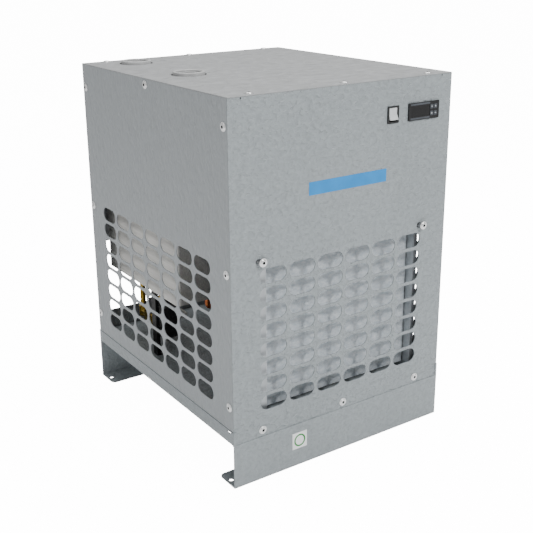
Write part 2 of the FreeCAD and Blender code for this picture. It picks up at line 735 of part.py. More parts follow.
def make_fins():
    """The fin pack: one block whose faces are grooved into upright fin edges."""
    body = new_body("condenser_fins")
    block = sketch_on(body, "top", size("fin_bottom"), "fin_block")
    rectangle(block, fin_left, fin_front, fin_right, fin_rear)
    pad(body, block, size("fin_height"))
    edge = size("fin_edge")
    groove = sketch_on(body, "top", size("fin_bottom"), "fin_grooves")
    start = fin_left + size("fin_pitch") - size("fin_gap")
    stop = start + size("fin_gap")
    rectangle(groove, start, fin_front, stop, fin_front + edge)
    rectangle(groove, start, fin_rear - edge, stop, fin_rear)
    first = pocket(body, groove, size("fin_height"))
    count = (fin_right - fin_left) / size("fin_pitch")
    whole = Size(math.floor(float(count)), f"floor({count.text})")
    repeat(body, [first], groove, "H_Axis", size("fin_pitch"), whole, "fin_edges")
    holes = sketch_on(body, "side", fin_left, "fin_tube_holes")
    circle(holes, fin_middle_y, tube_low, size("condenser_tube") + size("tube_fit"))
    hole = pocket(body, holes, fin_right - fin_left)
    repeat(body, [hole], holes, "V_Axis", size("tube_pitch"), size("tube_count"), "fin_tubes")
    finish(body, "condenser_fins")


def make_condenser_plate(label, inner, outward, reach):
    """A channel beside the fins: web, front flange with a screw boss on its ear, and a foot."""
    t = size("plate_sheet")
    body = new_body(label)
    x0 = inner if outward > 0 else inner - t
    web = sketch_on(body, "side", x0, f"{label}_web")
    rectangle(web, plate_front, floor_level + gap, plate_rear, plate_top)
    pad(body, web, t)
    flange = sketch_on(body, "front", plate_front, f"{label}_flange")
    ear = size("plate_ear")
    low = hang_level - ear / 2
    polygon(flange, [
        (inner, floor_level + gap), (inner + reach * outward, floor_level + gap),
        (inner + reach * outward, low), (inner + ear * outward, low),
        (inner + ear * outward, plate_top), (inner, plate_top),
    ])
    pad(body, flange, t)
    foot = sketch_on(body, "top", floor_level + gap, f"{label}_plate_foot")
    rectangle(foot, inner, plate_front, inner + ear * outward, plate_rear)
    pad(body, foot, t)
    boss = sketch_on(body, "front", boss_front, f"{label}_boss")
    circle(boss, hang_side * outward, hang_level, size("hang_spacer_radius"))
    pad(body, boss, plate_front - boss_front)
    screw = sketch_on(body, "front", boss_front, f"{label}_screw_hole")
    circle(screw, hang_side * outward, hang_level, size("screw_radius") + 0.05)
    pocket(body, screw, plate_front + t - boss_front)
    holes = sketch_on(body, "side", x0, f"{label}_holes")
    circle(holes, fin_middle_y, tube_low, size("condenser_tube") + size("tube_fit"))
    hole = pocket(body, holes, t)
    repeat(body, [hole], holes, "V_Axis", size("tube_pitch"), size("tube_count"), f"{label}_row")
    return body


def make_condenser_tube():
    """One tube wound back and forth through the fins, with both ends on the right."""
    overhang = size("tube_pitch") / 2 + size("plate_gap") + size("plate_sheet") + 1
    x0, x1 = fin_left - overhang, fin_right + overhang
    points = [(x1 + 4, fin_middle_y, tube_high)]
    for index in range(SIZES["tube_count"]):
        level = tube_high - size("tube_pitch") * index
        far = x0 if index % 2 == 0 else x1
        if index:
            points.append((x1 if index % 2 == 0 else x0, fin_middle_y, level))
        if index < SIZES["tube_count"] - 1:
            points.append((far, fin_middle_y, level))
    points.append((x1 + 4, fin_middle_y, tube_low))
    bend = float(size("tube_pitch")) / 2 - 0.01
    tube("condenser_tube", [points], size("condenser_tube"), bend)


def make_shroud():
    body = new_body("fan_shroud")
    plate = sketch_on(body, "front", plate_rear, "shroud_plate")
    rectangle(plate, plate_inner_left, size("fin_bottom"), plate_inner_right,
              size("fin_bottom") + size("fin_height"))
    pad(body, plate, size("plate_sheet"))
    ring = sketch_on(body, "front", plate_rear, "shroud_ring")
    outer = size("shroud_radius") + size("plate_sheet")
    circle(ring, fin_middle_x, fan_level, outer)
    pad(body, ring, size("shroud_collar"))
    hole = sketch_on(body, "front", plate_rear, "shroud_opening")
    circle(hole, fin_middle_x, fan_level, size("shroud_radius"))
    pocket(body, hole, size("shroud_collar"))
    finish(body, "fan_shroud")


blade_front = fin_rear + 6
hub_rear = blade_front + size("fan_hub_length")
motor_front = hub_rear + size("fan_gap")


def make_fan():
    """A hub with twisted blades, in one piece with the shaft that turns in the motor."""
    hub = Part.makeCylinder(float(size("fan_hub")), float(size("fan_hub_length")),
                            FreeCAD.Vector(0, 0, 0), FreeCAD.Vector(0, 1, 0))
    middle = float(size("fan_hub_length")) / 2
    root = float(size("fan_hub")) - 3
    tip = float(size("fan_radius"))
    sections = []
    for share, chord, pitch in ((0, 34, 42), (0.5, 60, 30), (1, 74, 22)):
        radius = root + (tip - root) * share
        lean = math.radians(pitch)
        along = FreeCAD.Vector(math.cos(lean), math.sin(lean), 0)
        across_chord = FreeCAD.Vector(-math.sin(lean), math.cos(lean), 0)
        centre = FreeCAD.Vector(0, middle, radius)
        half, thick = chord / 2 * min(1, tip / 110), 0.9
        corners = [centre + along * (half * a) + across_chord * (thick * b)
                   for a, b in ((-1, -1), (1, -1), (1, 1), (-1, 1), (-1, -1))]
        sections.append(Part.makePolygon(corners))
    blade = Part.makeLoft(sections, True, False)
    bound = Part.makeCylinder(tip, 200, FreeCAD.Vector(0, -80, 0), FreeCAD.Vector(0, 1, 0))
    blade = blade.common(bound)
    blades = []
    for index in range(SIZES["blade_count"]):
        turned = blade.copy()
        turned.rotate(FreeCAD.Vector(0, 0, 0), FreeCAD.Vector(0, 1, 0),
                      360 / SIZES["blade_count"] * index)
        blades.append(turned)
    reach = float(size("fan_hub_length") + size("fan_gap") + size("shaft_length"))
    shaft = Part.makeCylinder(float(size("fan_shaft")), reach, FreeCAD.Vector(0, 0, 0),
                              FreeCAD.Vector(0, 1, 0))
    piece = doc.addObject("Part::Feature", "fan_rotor")
    piece.Shape = hub.fuse(blades + [shaft])
    place(piece, fin_middle_x, blade_front, fan_level)
    finish(piece, "fan_blade")


def make_motor():
    """A shaded-pole motor on a flat four-armed bracket that is held off the shroud."""
    can = rod("motor_can", size("motor_radius"), size("motor_length"), fin_middle_x, motor_front,
              fan_level, "y")
    bore = rod("motor_bore", size("fan_shaft") + size("shaft_fit"), size("shaft_length") + 1,
               fin_middle_x, motor_front, fan_level, "y")
    boss = rod("motor_boss", size("motor_radius") / 2, size("motor_boss"), fin_middle_x,
               motor_front + size("motor_length"), fan_level, "y")
    finish(cut("motor_body", fuse("motor_solid", [can, boss]), bore), "fan_motor")
    t = size("arm_sheet")
    back_face = motor_front + size("motor_length") / 3
    reach = size("shroud_radius") + size("arm_past_shroud")
    half = size("arm_width") / 2
    parts = []
    for index, side in enumerate((-1, 1)):
        inner = fin_middle_x + size("motor_radius") * side + side * 0.2
        outer = fin_middle_x + reach * side
        lo, hi = (outer, inner) if side < 0 else (inner, outer)
        parts.append(box(f"arm_{index}", lo, back_face, fan_level - half,
                         hi, back_face + t, fan_level + half))
        post = outer if side < 0 else outer - t
        parts.append(box(f"arm_post_{index}", post, shroud_rear, fan_level - half,
                         post + t, back_face, fan_level + half))
    outer_ring = rod("clamp_outer", size("motor_radius") + size("clamp_wall"), half * 2,
                     fin_middle_x, back_face, fan_level, "y")
    inner_ring = rod("clamp_inner", size("motor_radius") + 0.05, half * 2, fin_middle_x,
                     back_face, fan_level, "y")
    arms = fuse("motor_arms", parts + [outer_ring])
    finish(cut("fan_motor_bracket", arms, inner_ring), "fan_motor_bracket")


# ---------------------------------------------------------------- heat exchanger
ex_left = across(size("exchanger_left"))
ex_right = ex_left + size("exchanger_width")
ex_front = back(size("exchanger_front"))
ex_rear = ex_front + size("exchanger_depth")
ex_low = size("exchanger_bottom")
ex_high = size("height") - size("exchanger_drop")


def make_exchanger():
    body = new_body("heat_exchanger")
    block = sketch_on(body, "top", ex_low, "exchanger_block")
    rectangle(block, ex_left, ex_front, ex_right, ex_rear)
    solid = pad(body, block, ex_high - ex_low)
    fillet(body, solid, size("exchanger_corner"), upright)
    ports = sketch_on(body, "top", ex_high - size("port_depth"), "exchanger_ports")
    for x, y in air_places():
        circle(ports, x, y, size("port_radius"))
    pocket(body, ports, size("port_depth"))
    finish(body, "heat_exchanger")
    sockets = []
    for label, (x, y) in zip(("inlet_ring", "outlet_ring"), air_places()):
        socket = new_body(label)
        length = size("height") + size("air_socket_stand") - ex_high
        outer, bore = size("air_socket_outer"), size("air_socket_bore")
        chamfer = size("air_socket_chamfer")
        outline = sketch_on(socket, "front", 0, f"{label}_outline")
        polygon(outline, [
            (size("port_radius"), 0), (outer, 0), (outer, length - 1), (outer - 1, length),
            (bore + chamfer, length), (bore, length - chamfer), (bore, 8),
            (size("port_radius"), 8),
        ])
        revolve(socket, outline)
        sockets.append(place(socket, x, y, ex_high))
    finish(group("air_rings", sockets), "air_sockets")
    legs = []
    leg, deep, sheet_thick = size("stand_leg"), size("stand_leg_depth"), size("stand_sheet")
    corners = ((size("stand_front_x"), size("stand_front_y")),
               (size("stand_rear_x"), size("stand_rear_y")))
    for index, (x, y) in enumerate(corners):
        legs.append(box(f"stand_leg_{index}", across(x), back(y), floor_level,
                        across(x) + leg, back(y + deep), ex_low - sheet_thick))
        legs.append(box(f"stand_foot_{index}", across(x) + leg, back(y), floor_level,
                        across(x) + leg + size("stand_foot"), back(y + deep),
                        floor_level + sheet_thick))
    legs.append(box("stand_beam", across(size("stand_front_x")), back(size("stand_front_y")),
                    ex_low - sheet_thick, across(size("stand_beam_right")),
                    back(size("stand_beam_rear")), ex_low))
    finish(fuse("exchanger_stand", legs), "exchanger_stand")


# ---------------------------------------------------------------- compressor
def make_compressor():
    x, y = size("shell_x"), back(size("shell_y"))
    r, h = size("shell_radius"), size("shell_height")
    seat = floor_level + size("grommet_height")
    shell_low = seat + size("mount_plate")
    body = new_body("shell_pot")
    outline = sketch_on(body, "front", 0, "shell_outline")
    seam = h * 0.55
    lip = size("shell_flange")
    polygon(outline, [
        (0, 0), (r * 0.72, 0), (r * 0.93, 10), (r - 2, 26), (r - 2, seam), (r + lip, seam),
        (r + lip, seam + 5), (r, seam + 5), (r, h - 40), (r * 0.93, h - 20), (r * 0.72, h - 6),
        (r * 0.4, h), (0, h),
    ])
    revolve(body, outline)
    place(body, x, y, shell_low)
    stub = size("stub_length")
    stub_start = r + stub - size("stub_in")
    port_level = shell_low + h * 0.36
    stubs = [
        body,
        rod("suction_stub", size("suction_radius") + 1.5, stub, x - stub_start, y,
            ex_low - size("suction_drop"), "x"),
        rod("discharge_stub", size("discharge_radius") + 1.5, stub, x, y - stub_start,
            port_level, "y"),
        rod("process_stub", 4, stub, x + r * 0.45, y - stub_start + 8, port_level, "y"),
        rod("terminal_fence", 19, 24, x + r - 4, y, shell_low + h * 0.35, "x"),
    ]
    finish(fuse("compressor", stubs), "compressor_shell")
    fence_end = x + r + 20
    cover_start, half = fence_end - size("terminal_in"), size("terminal_cover_half")
    cover_low = shell_low + size("terminal_cover_low")
    cover_high = shell_low + size("terminal_cover_high")
    skin = size("terminal_cover_wall")
    cover = box("terminal_block", cover_start, y - half, cover_low, fence_end + 16, y + half,
                cover_high)
    hollow = box("terminal_hollow", cover_start, y - half + skin, cover_low + skin,
                 fence_end + 1, y + half - skin, cover_high - skin)
    finish(cut("terminal_cover", cover, hollow), "compressor_terminal_cover")
    plate = new_body("compressor_base")
    flat = sketch_on(plate, "top", seat, "mount_plate_outline")
    wide = size("mount_half_x") + size("mount_margin")
    deep = size("mount_half_y") + size("mount_margin")
    rectangle(flat, x - wide, y - deep, x + wide, y + deep)
    padded = pad(plate, flat, size("mount_plate"))
    fillet(plate, padded, 12, upright)
    holes = sketch_on(plate, "top", seat, "mount_plate_holes")
    for px, py in compressor_mounts():
        circle(holes, px, py, size("compressor_bolt") + 3.5)
    pocket(plate, holes, size("mount_plate"))
    finish(plate, "compressor_base")
    grommet = new_body("mount_grommet")
    outline = sketch_on(grommet, "front", 0, "grommet_outline")
    bore, outer = size("compressor_bolt") + 0.3, size("grommet_radius")
    high = size("grommet_height")
    collar = size("compressor_bolt") + 3.3
    polygon(outline, [
        (bore, 0), (outer, 0), (outer, 3), (outer - 2, 5), (outer - 2, high - 5),
        (outer, high - 3), (outer, high), (collar, high), (collar, high + size("mount_plate")),
        (bore, high + size("mount_plate")),
    ])
    revolve(grommet, outline)
    places = [(px, py, floor_level, (0, 0, 1), 0) for px, py in compressor_mounts()]
    copies("compressor_grommets", grommet, places)
    bolt = new_body("mount_bolt")
    outline = sketch_on(bolt, "front", 0, "bolt_outline")
    polygon(outline, [
        (0, -as_size(high) - 8), (size("compressor_bolt"), -as_size(high) - 8),
        (size("compressor_bolt"), 0), (10, 0), (10, 1.6), (6, 1.6), (6, 7), (0, 7),
    ])
    revolve(bolt, outline)
    top = seat + size("mount_plate")
    seats = [(px, py, top, (0, 0, 1), 0) for px, py in compressor_mounts()]
    copies("compressor_bolts", bolt, seats)
    return shell_low


# ---------------------------------------------------------------- refrigerant circuit
def make_refrigerant_circuit(shell_low):
    x, y = size("shell_x"), back(size("shell_y"))
    r, h = size("shell_radius"), size("shell_height")
    bend = size("bend_radius")
    stub_start = r + size("stub_length") - size("stub_in")
    hot_y = back(size("hot_line_y"))
    hot_level = size("hot_line_level")
    start = (x, y - stub_start, shell_low + h * 0.36)
    tee_half = size("tee_half")
    tee_r = size("discharge_radius") + size("tee_wall")
    cross_run = rod("cross_run", tee_r, tee_half * 2, x, hot_y, hot_level - tee_half)
    cross_arm = rod("cross_arm", tee_r, tee_half * 2, x - tee_half, hot_y, hot_level, "x")
    finish(fuse("discharge_cross", [cross_run, cross_arm]), "discharge_cross")
    end_x = fin_right + size("tube_pitch") / 2 + size("plate_gap") + size("plate_sheet") + 5
    pipe_x = end_x + 9
    to_cross = [start, (x, hot_y, start[2]), (x, hot_y, hot_level - tee_half)]
    to_condenser = [
        (x, hot_y, hot_level + tee_half), (x, hot_y, tube_high), (pipe_x, hot_y, tube_high),
        (pipe_x, fin_middle_y, tube_high), (end_x, fin_middle_y, tube_high),
    ]
    tube("discharge_lines", [to_cross, to_condenser], size("discharge_radius"), bend)
    switch_x = x + tee_half
    neck = rod("switch_neck", 4, 8, switch_x, hot_y, hot_level, "x")
    can = rod("switch_can", size("fan_switch_radius"), size("fan_switch_length"), switch_x + 8,
              hot_y, hot_level, "x")
    finish(fuse("fan_pressure_switch", [neck, can]), "fan_pressure_switch")
    valve_x = x - size("hot_valve_side")
    valve_half, valve_reach = size("hot_valve_height") / 2, size("hot_valve_reach")
    hot_body = rod("hot_valve_body", size("hot_valve_radius"), valve_half * 2, valve_x, hot_y,
                   hot_level - valve_half)
    hot_cap = rod("hot_valve_cap", 9, 14, valve_x, hot_y, hot_level + valve_half)
    inlet = rod("hot_valve_inlet", 5.5, valve_reach, valve_x, hot_y, hot_level, "x")
    outlet = rod("hot_valve_outlet", 5.5, valve_reach, valve_x - valve_reach, hot_y, hot_level,
                 "x")
    finish(fuse("hot_gas_valve", [hot_body, hot_cap, inlet, outlet]), "hot_gas_valve")
    branch = [(valve_x + valve_reach, hot_y, hot_level), (x - tee_half, hot_y, hot_level)]
    to_exchanger = [
        (valve_x - valve_reach, hot_y, hot_level), (ex_right + 20, hot_y, hot_level),
        (ex_right + 20, hot_y, ex_low - 26), (ex_right - 26, hot_y, ex_low - 26),
        (ex_right - 26, hot_y, ex_low),
    ]
    tube("hot_gas_lines", [branch, to_exchanger], size("discharge_radius"), bend)
    suction_x, suction_y = across(size("suction_x")), ex_front + 14
    suction_level = ex_low - size("suction_drop")
    tube("suction_line", [[
        (suction_x, suction_y, ex_low), (suction_x, suction_y, suction_level),
        (ex_right + 56, suction_y, suction_level), (ex_right + 56, y, suction_level),
        (x - stub_start, y, suction_level),
    ]], size("suction_radius"), bend)
    drier_x, drier_y = pipe_x, back(size("liquid_y"))
    tube("liquid_line", [[
        (end_x, fin_middle_y, tube_low), (drier_x, fin_middle_y, tube_low),
        (drier_x, drier_y, tube_low),
    ]], size("liquid_radius"), bend)
    drier = new_body("filter_drier")
    outline = sketch_on(drier, "front", 0, "drier_outline")
    rd, ld = size("drier_radius"), size("drier_length")
    polygon(outline, [
        (0, 0), (4.2, 0), (4.2, 8), (rd, 18), (rd, ld - 18), (4.2, ld - 8), (4.2, ld), (0, ld),
    ])
    revolve(drier, outline)
    place(drier, drier_x, drier_y, tube_low, (1, 0, 0), -90)
    finish(drier, "filter_drier")
    coil_x, coil_y = across(size("capillary_x")), back(size("capillary_y"))
    coil_r = size("capillary_half")
    approach = back(262)
    points = [(drier_x, drier_y + ld, tube_low), (drier_x, approach, tube_low),
              (coil_x + coil_r, approach, tube_low)]
    corners = ((1, 1), (-1, 1), (-1, -1), (1, -1))
    for step in range(SIZES["capillary_turns"] * 4):
        sx, sy = corners[step % 4]
        points.append((coil_x + coil_r * sx, coil_y + coil_r * sy,
                       tube_low + size("capillary_rise") * (step + 1)))
    top = points[-1][2]
    points += [(coil_x + coil_r, coil_y - coil_r - 22, top + 6),
               (coil_x - coil_r - 16, coil_y - coil_r - 22, top + 6),
               (coil_x - coil_r - 16, coil_y - coil_r - 22, ex_low - 60),
               (ex_right - 26, coil_y - coil_r - 22, ex_low - 60),
               (ex_right - 26, coil_y - coil_r - 22, ex_low)]
    tube("capillary_tube", [points], size("capillary_radius"), bend)
    process_x = x + r * 0.45
    stem = rod("service_stem", 4.5, 16, process_x, y - stub_start - 8, start[2], "y")
    cap = rod("service_cap", 6.5, 10, process_x, y - stub_start - 18, start[2], "y")
    finish(fuse("service_valve", [stem, cap]), "service_valve")


# ---------------------------------------------------------------- condensate drain
def make_drain():
    x, y = across(size("drain_x")), back(size("drain_y"))
    level = size("valve_level")
    valve_y = back(size("valve_y"))
    coil_y = back(size("coil_y"))
    pipe_r = size("drain_pipe_radius")
    half = size("ball_half")
    pipe = rod("drain_pipe_rod", pipe_r, ex_low - level - half, x, y, level + half)
    nut = doc.addObject("Part::Prism", "drain_pipe_nut")
    nut.Polygon = 6
    bind(nut, "Circumradius", size("drain_nut_radius"))
    bind(nut, "Height", size("drain_nut_height"))
    place(nut, x, y, ex_low - size("drain_nut_height"))
    finish(fuse("drain_pipe_solid", [pipe, nut]), "drain_pipe")
    elbow_radius = size("elbow_radius")
    elbow = [
        rod("elbow_up", elbow_radius, elbow_radius + half, x, y, level - elbow_radius),
        rod("elbow_arm", size("elbow_arm_radius"), y - valve_y - half, x, valve_y + half, level,
            "y"),
    ]
    finish(fuse("drain_elbow_solid", elbow), "drain_elbow")
    ball_body = box("ball_block", x - half, valve_y - half, level - half, x + half,
                    valve_y + half, level + half)
    solenoid_x, solenoid_y = size("solenoid_half_x"), size("solenoid_half_y")
    solenoid_z = size("solenoid_half_z")
    neck_y = coil_y + solenoid_y
    neck = rod("ball_neck", size("ball_neck_radius"), valve_y - half - neck_y, x, neck_y, level,
               "y")
    ball_top = level + half
    bonnet_high, lever_thick = size("bonnet_height"), size("lever_sheet")
    lever_low = ball_top + bonnet_high + 0.4
    bonnet = rod("ball_bonnet", size("bonnet_radius"), bonnet_high, x, valve_y, ball_top)
    stem = rod("ball_stem", size("stem_radius"), size("stem_height"), x, valve_y, ball_top)
    stem_nut = rod("ball_stem_nut", size("stem_nut_radius"), 2.4, x, valve_y,
                   lever_low + lever_thick + 0.3)
    finish(fuse("ball_valve_solid", [ball_body, neck, bonnet, stem, stem_nut]),
           "drain_ball_valve")
    lever = new_body("drain_lever")
    flat = sketch_on(lever, "top", lever_low, "lever_outline")
    rectangle(flat, x - size("lever_half"), valve_y - size("lever_tail"),
              x + size("lever_half"), valve_y + size("lever_reach"))
    blade = pad(lever, flat, lever_thick)
    fillet(lever, blade, size("lever_half") - 0.5, upright)
    bore = sketch_on(lever, "top", lever_low, "lever_bore")
    circle(bore, x, valve_y, size("stem_radius") + size("stem_fit"))
    pocket(lever, bore, lever_thick)
    finish(lever, "drain_lever")
    solenoid_tube = size("solenoid_tube")
    valve = [
        box("solenoid_block", x - solenoid_x, coil_y - solenoid_y, level - solenoid_z,
            x + solenoid_x, coil_y + solenoid_y, level + solenoid_z),
        rod("solenoid_stem", solenoid_tube, 42, x, coil_y, level + solenoid_z),
        rod("solenoid_outlet", 7, 26, x + solenoid_x, coil_y, level, "x"),
    ]
    finish(fuse("drain_valve_solid", valve), "drain_valve_body")
    coil_low, coil_high = level + size("coil_low"), level + size("coil_high")
    coil = box("coil_block", x - 18, coil_y - 20, coil_low, x + 14, coil_y + 16, coil_high)
    coil_hole = rod("coil_hole", solenoid_tube + gap, 60, x, coil_y, level + 10)
    finish(cut("drain_coil", coil, coil_hole), "drain_coil")
    timer_x0, timer_low = x - size("timer_out"), level - solenoid_z
    timer_y1 = coil_y - 20 - gap
    timer_y0 = timer_y1 - size("timer_depth")
    case = box("timer_case", timer_x0, timer_y0, timer_low, timer_x0 + size("timer_width"),
               timer_y1, coil_high)
    knob_y, button_y = timer_y0 + size("knob_in"), timer_y0 + size("button_in")
    button_level = level + size("button_up")
    ups = (size("interval_up"), size("open_time_up"))
    bores = [rod("button_bore", 3.3, 6, timer_x0 - 0.1, button_y, button_level, "x")]
    for index, up in enumerate(ups):
        bores.append(rod(f"knob_bore_{index}", size("knob_bore"), 6, timer_x0 - 0.1, knob_y,
                         timer_low + up, "x"))
    finish(cut("drain_timer", case, fuse("timer_bores", bores)), "drain_timer")
    knob_x = timer_x0 - size("knob_stand")
    for label, up in zip(("interval_knob", "open_time_knob"), ups):
        disc = rod(f"{label}_disc", size("knob_radius"), size("knob_length"), knob_x, knob_y,
                   timer_low + up, "x")
        slit = box(f"{label}_slit", knob_x, knob_y - 0.7, timer_low + up - 4, knob_x + 1.2,
                   knob_y + 0.7, timer_low + up + 4)
        finish(cut(label, disc, slit), label)
    travel = size("button_travel")
    button = rod("test_button_rod", 3, travel + 3.5, timer_x0 - travel - 0.3, button_y,
                 button_level, "x")
    finish(button, "drain_test_button")
    bx, bz = across(size("bulkhead_x")), size("bulkhead_level")
    radius = size("bulkhead_radius")
    stem_front = back_inside - 22
    stub = rod("bulkhead_rod", radius, rear + size("rear_stand") - stem_front, bx, stem_front,
               bz, "y")
    collar = rod("bulkhead_collar", radius + 3.5, 4, bx, panel_rear, bz, "y")
    bore_y = rear + size("rear_stand") - size("outlet_depth")
    bore = rod("bulkhead_bore", size("outlet_bore"), size("outlet_depth"), bx, bore_y, bz, "y")
    finish(cut("drain_bulkhead", fuse("bulkhead_solid", [stub, collar]), bore), "drain_bulkhead")
    tube("drain_hose", [[
        (x + 43, coil_y, level), (x + 66, coil_y, level), (x + 66, coil_y + 46, level),
        (bx, coil_y + 60, bz), (bx, stem_front, bz),
    ]], size("hose_radius"), 12)


# ---------------------------------------------------------------- controls
def make_controls():
    level = control_level
    x = size("display_x")
    wide, high = size("display_width"), size("display_height")
    stand = size("display_stand")
    face = panel_front - stand
    body = new_body("controller_housing")
    bezel = sketch_on(body, "front", face, "controller_bezel")
    rectangle(bezel, x - wide / 2, level - high / 2, x + wide / 2, level + high / 2)
    plate = pad(body, bezel, stand)
    fillet(body, plate, 1.5, lambda a, b: along_y(a, b))
    deep = sketch_on(body, "front", panel_front, "controller_case")
    inner_x, inner_z = wide / 2 - 2, high / 2 - 2
    rectangle(deep, x - inner_x, level - inner_z, x + inner_x, level + inner_z)
    pad(body, deep, size("display_depth"))
    recess = sketch_on(body, "front", face, "display_recess")
    key_zone = x + wide / 2 - size("key_from_right") - size("key_pitch_x")
    screen_x0, screen_x1 = x - wide / 2 + 5, key_zone
    screen_z = high / 2 - 6.5
    rectangle(recess, screen_x0, level - screen_z, screen_x1, level + screen_z)
    pocket(body, recess, 1.6)
    wells = sketch_on(body, "front", face, "key_wells")
    keys = []
    for row, up in enumerate((0.5, -0.5)):
        for column, side in enumerate((-0.5, 0.5)):
            kx = x + wide / 2 - size("key_from_right") + size("key_pitch_x") * side
            kz = level + size("key_pitch_z") * up
            keys.append((kx, kz, f"key_{row * 2 + column + 1}"))
            half_x = size("key_width") / 2 + 0.25
            half_z = size("key_height") / 2 + 0.25
            rectangle(wells, kx - half_x, kz - half_z, kx + half_x, kz + half_z)
    pocket(body, wells, stand)
    finish(body, "controller_housing")
    finish(box("window_pane", screen_x0 + 0.1, face + 0.4, level - screen_z + 0.1,
               screen_x1 - 0.1, face + 1.6, level + screen_z - 0.1), "display_window")
    for kx, kz, label in keys:
        key = new_body(label)
        cap = sketch_on(key, "front", face - size("key_travel") * 0.6, f"{label}_cap")
        half_x, half_z = size("key_width") / 2, size("key_height") / 2
        rectangle(cap, kx - half_x, kz - half_z, kx + half_x, kz + half_z)
        solid = pad(key, cap, stand - size("key_travel") * 0.5)
        fillet(key, solid, 1.6, lambda a, b: along_y(a, b))
        finish(key, label)


def make_switch():
    level = control_level
    x = size("switch_x")
    half_x, half_z = size("switch_width") / 2, size("switch_height") / 2
    face = panel_front - size("switch_stand")
    opening_x = size("rocker_width") / 2 + size("rocker_gap")
    opening_z = size("rocker_half") + 1.9
    body = new_body("switch_frame")
    bezel = sketch_on(body, "front", face, "switch_bezel")
    rectangle(bezel, x - half_x, level - half_z, x + half_x, level + half_z)
    plate = pad(body, bezel, size("switch_stand"))
    fillet(body, plate, 1, lambda a, b: along_y(a, b))
    case = sketch_on(body, "front", panel_front, "switch_case")
    rectangle(case, x - half_x + 2, level - half_z + 2, x + half_x - 2, level + half_z - 2)
    pad(body, case, size("switch_depth"))
    well = sketch_on(body, "front", face, "switch_well")
    rectangle(well, x - opening_x, level - opening_z, x + opening_x, level + opening_z)
    pocket(body, well, size("rocker_depth") + 7)
    sockets = sketch_on(body, "side", x - half_x + 2, "pivot_sockets")
    circle(sockets, face + size("rocker_depth"), level, size("pivot_radius") + 0.05)
    pocket(body, sockets, size("switch_width") - 4)
    finish(body, "switch_frame")
    # drawn with both halves level about the pivot, then tilted so that the lower half stands out
    rocker = new_body("switch_rocker")
    depth, half = size("rocker_depth"), size("rocker_half")
    outline = sketch_on(rocker, "side", -size("rocker_width") / 2, "rocker_outline")
    polygon(outline, [
        (-(depth + size("rocker_rise")), -half), (-(depth - size("rocker_dip")), 0),
        (-(depth + size("rocker_rise")), half), (2, half * 0.72), (4, 0), (2, -half * 0.72),
    ])
    pad(rocker, outline, size("rocker_width"))
    reach = opening_x + 1
    pivot = sketch_on(rocker, "side", -reach, "rocker_pivot")
    circle(pivot, 0, 0, size("pivot_radius"))
    pad(rocker, pivot, reach * 2)
    place(rocker, x, face + depth, level, (1, 0, 0), -SIZES["rocker_tilt"])
    finish(rocker, "switch_rocker")


# ---------------------------------------------------------------- electrical box and leads
def make_electrics():
    x0, y0, z0 = size("box_x"), back(size("box_y")), plate_top + size("box_rise")
    x1, y1, z1 = x0 + size("box_width"), y0 + size("box_depth"), z0 + size("box_height")
    t = size("box_sheet")
    outer = box("box_outer", x0, y0, z0, x1, y1, z1)
    inner = box("box_inner", x0 + t, y0 + t, z0 + t, x1 - t, y1, z1 - t)
    leaf_x = return_right - wall - gap
    arm_low = z0 + size("arm_rise")
    arm_top = arm_low + size("arm_height")
    arm = box("box_arm", x1 - t, y0, arm_low, leaf_x, y0 + t, arm_top)
    leaf = box("box_leaf", leaf_x - t, face_inside + 4, arm_low, leaf_x, y0 + t, arm_top)
    entry_y = y1 - size("entry_depth")
    entries = (x0 + size("entry_left"), x1 - size("entry_right"))
    holes = [rod(f"box_hole_{index}", size("lead_radius") + 0.6, 12, x, entry_y, z0 - 5)
             for index, x in enumerate(entries)]
    shell = fuse("box_shell", [cut("box_hollow", outer, inner), arm, leaf])
    finish(cut("box_drilled", shell, fuse("box_holes", holes)), "electrical_box")
    finish(box("box_lid_plate", x0, y1 + gap, z0, x1, y1 + gap + t, z1), "electrical_box_lid")
    rail = [box("terminal_base", x0 + 16, y0 + t, z0 + 16, x1 - 16, y0 + 22, z0 + 44)]
    for step in range(SIZES["terminal_count"]):
        start = x0 + 20 + size("terminal_pitch") * step
        rail.append(box(f"terminal_{step}", start, y0 + 22, z0 + 19,
                        start + size("terminal_width"), y0 + 30, z0 + 41))
    finish(fuse("terminal_strip", rail), "terminal_strip")
    finish(rod("capacitor_can", size("capacitor_radius"), size("capacitor_length"), x0 + 20,
               y0 + 32, z1 - 30, "x"), "run_capacitor")
    gx, gz, gr = size("gland_x"), size("gland_level"), size("gland_radius")
    gland = [
        rod("gland_thread", gr, 14, gx, back_inside - 12, gz, "y"),
        rod("gland_dome", gr + 3, rear + size("rear_stand") - 2 - panel_rear, gx, panel_rear, gz,
            "y"),
        rod("gland_lock_nut", gr + 4, 5, gx, back_inside - 5, gz, "y"),
    ]
    bore = rod("gland_hole", size("gland_bore"), 60, gx, back_inside - 30, gz, "y")
    finish(cut("cable_gland", fuse("gland_solid", gland), bore), "cable_gland")
    motor_rear = motor_front + size("motor_length") + size("motor_boss")
    under = z0 - 24
    fan_lead = [
        (fin_middle_x, motor_rear, fan_level), (fin_middle_x, motor_rear + 30, fan_level),
        (fin_middle_x, motor_rear + 30, under), (entries[0], entry_y, under),
        (entries[0], entry_y, z0 + 6),
    ]
    cover_x = size("shell_x") + size("shell_radius") + 36
    cover_y = back(size("shell_y"))
    run_y = fin_rear + 76
    compressor_lead = [
        (cover_x, cover_y, ex_low - 70), (cover_x + 14, cover_y, ex_low - 70),
        (cover_x + 14, cover_y, under - 10), (cover_x + 14, run_y, under - 10),
        (entries[1], entry_y, under - 10), (entries[1], entry_y, z0 + 6),
    ]
    tube("internal_leads", [fan_lead, compressor_lead], size("lead_radius"), 12)


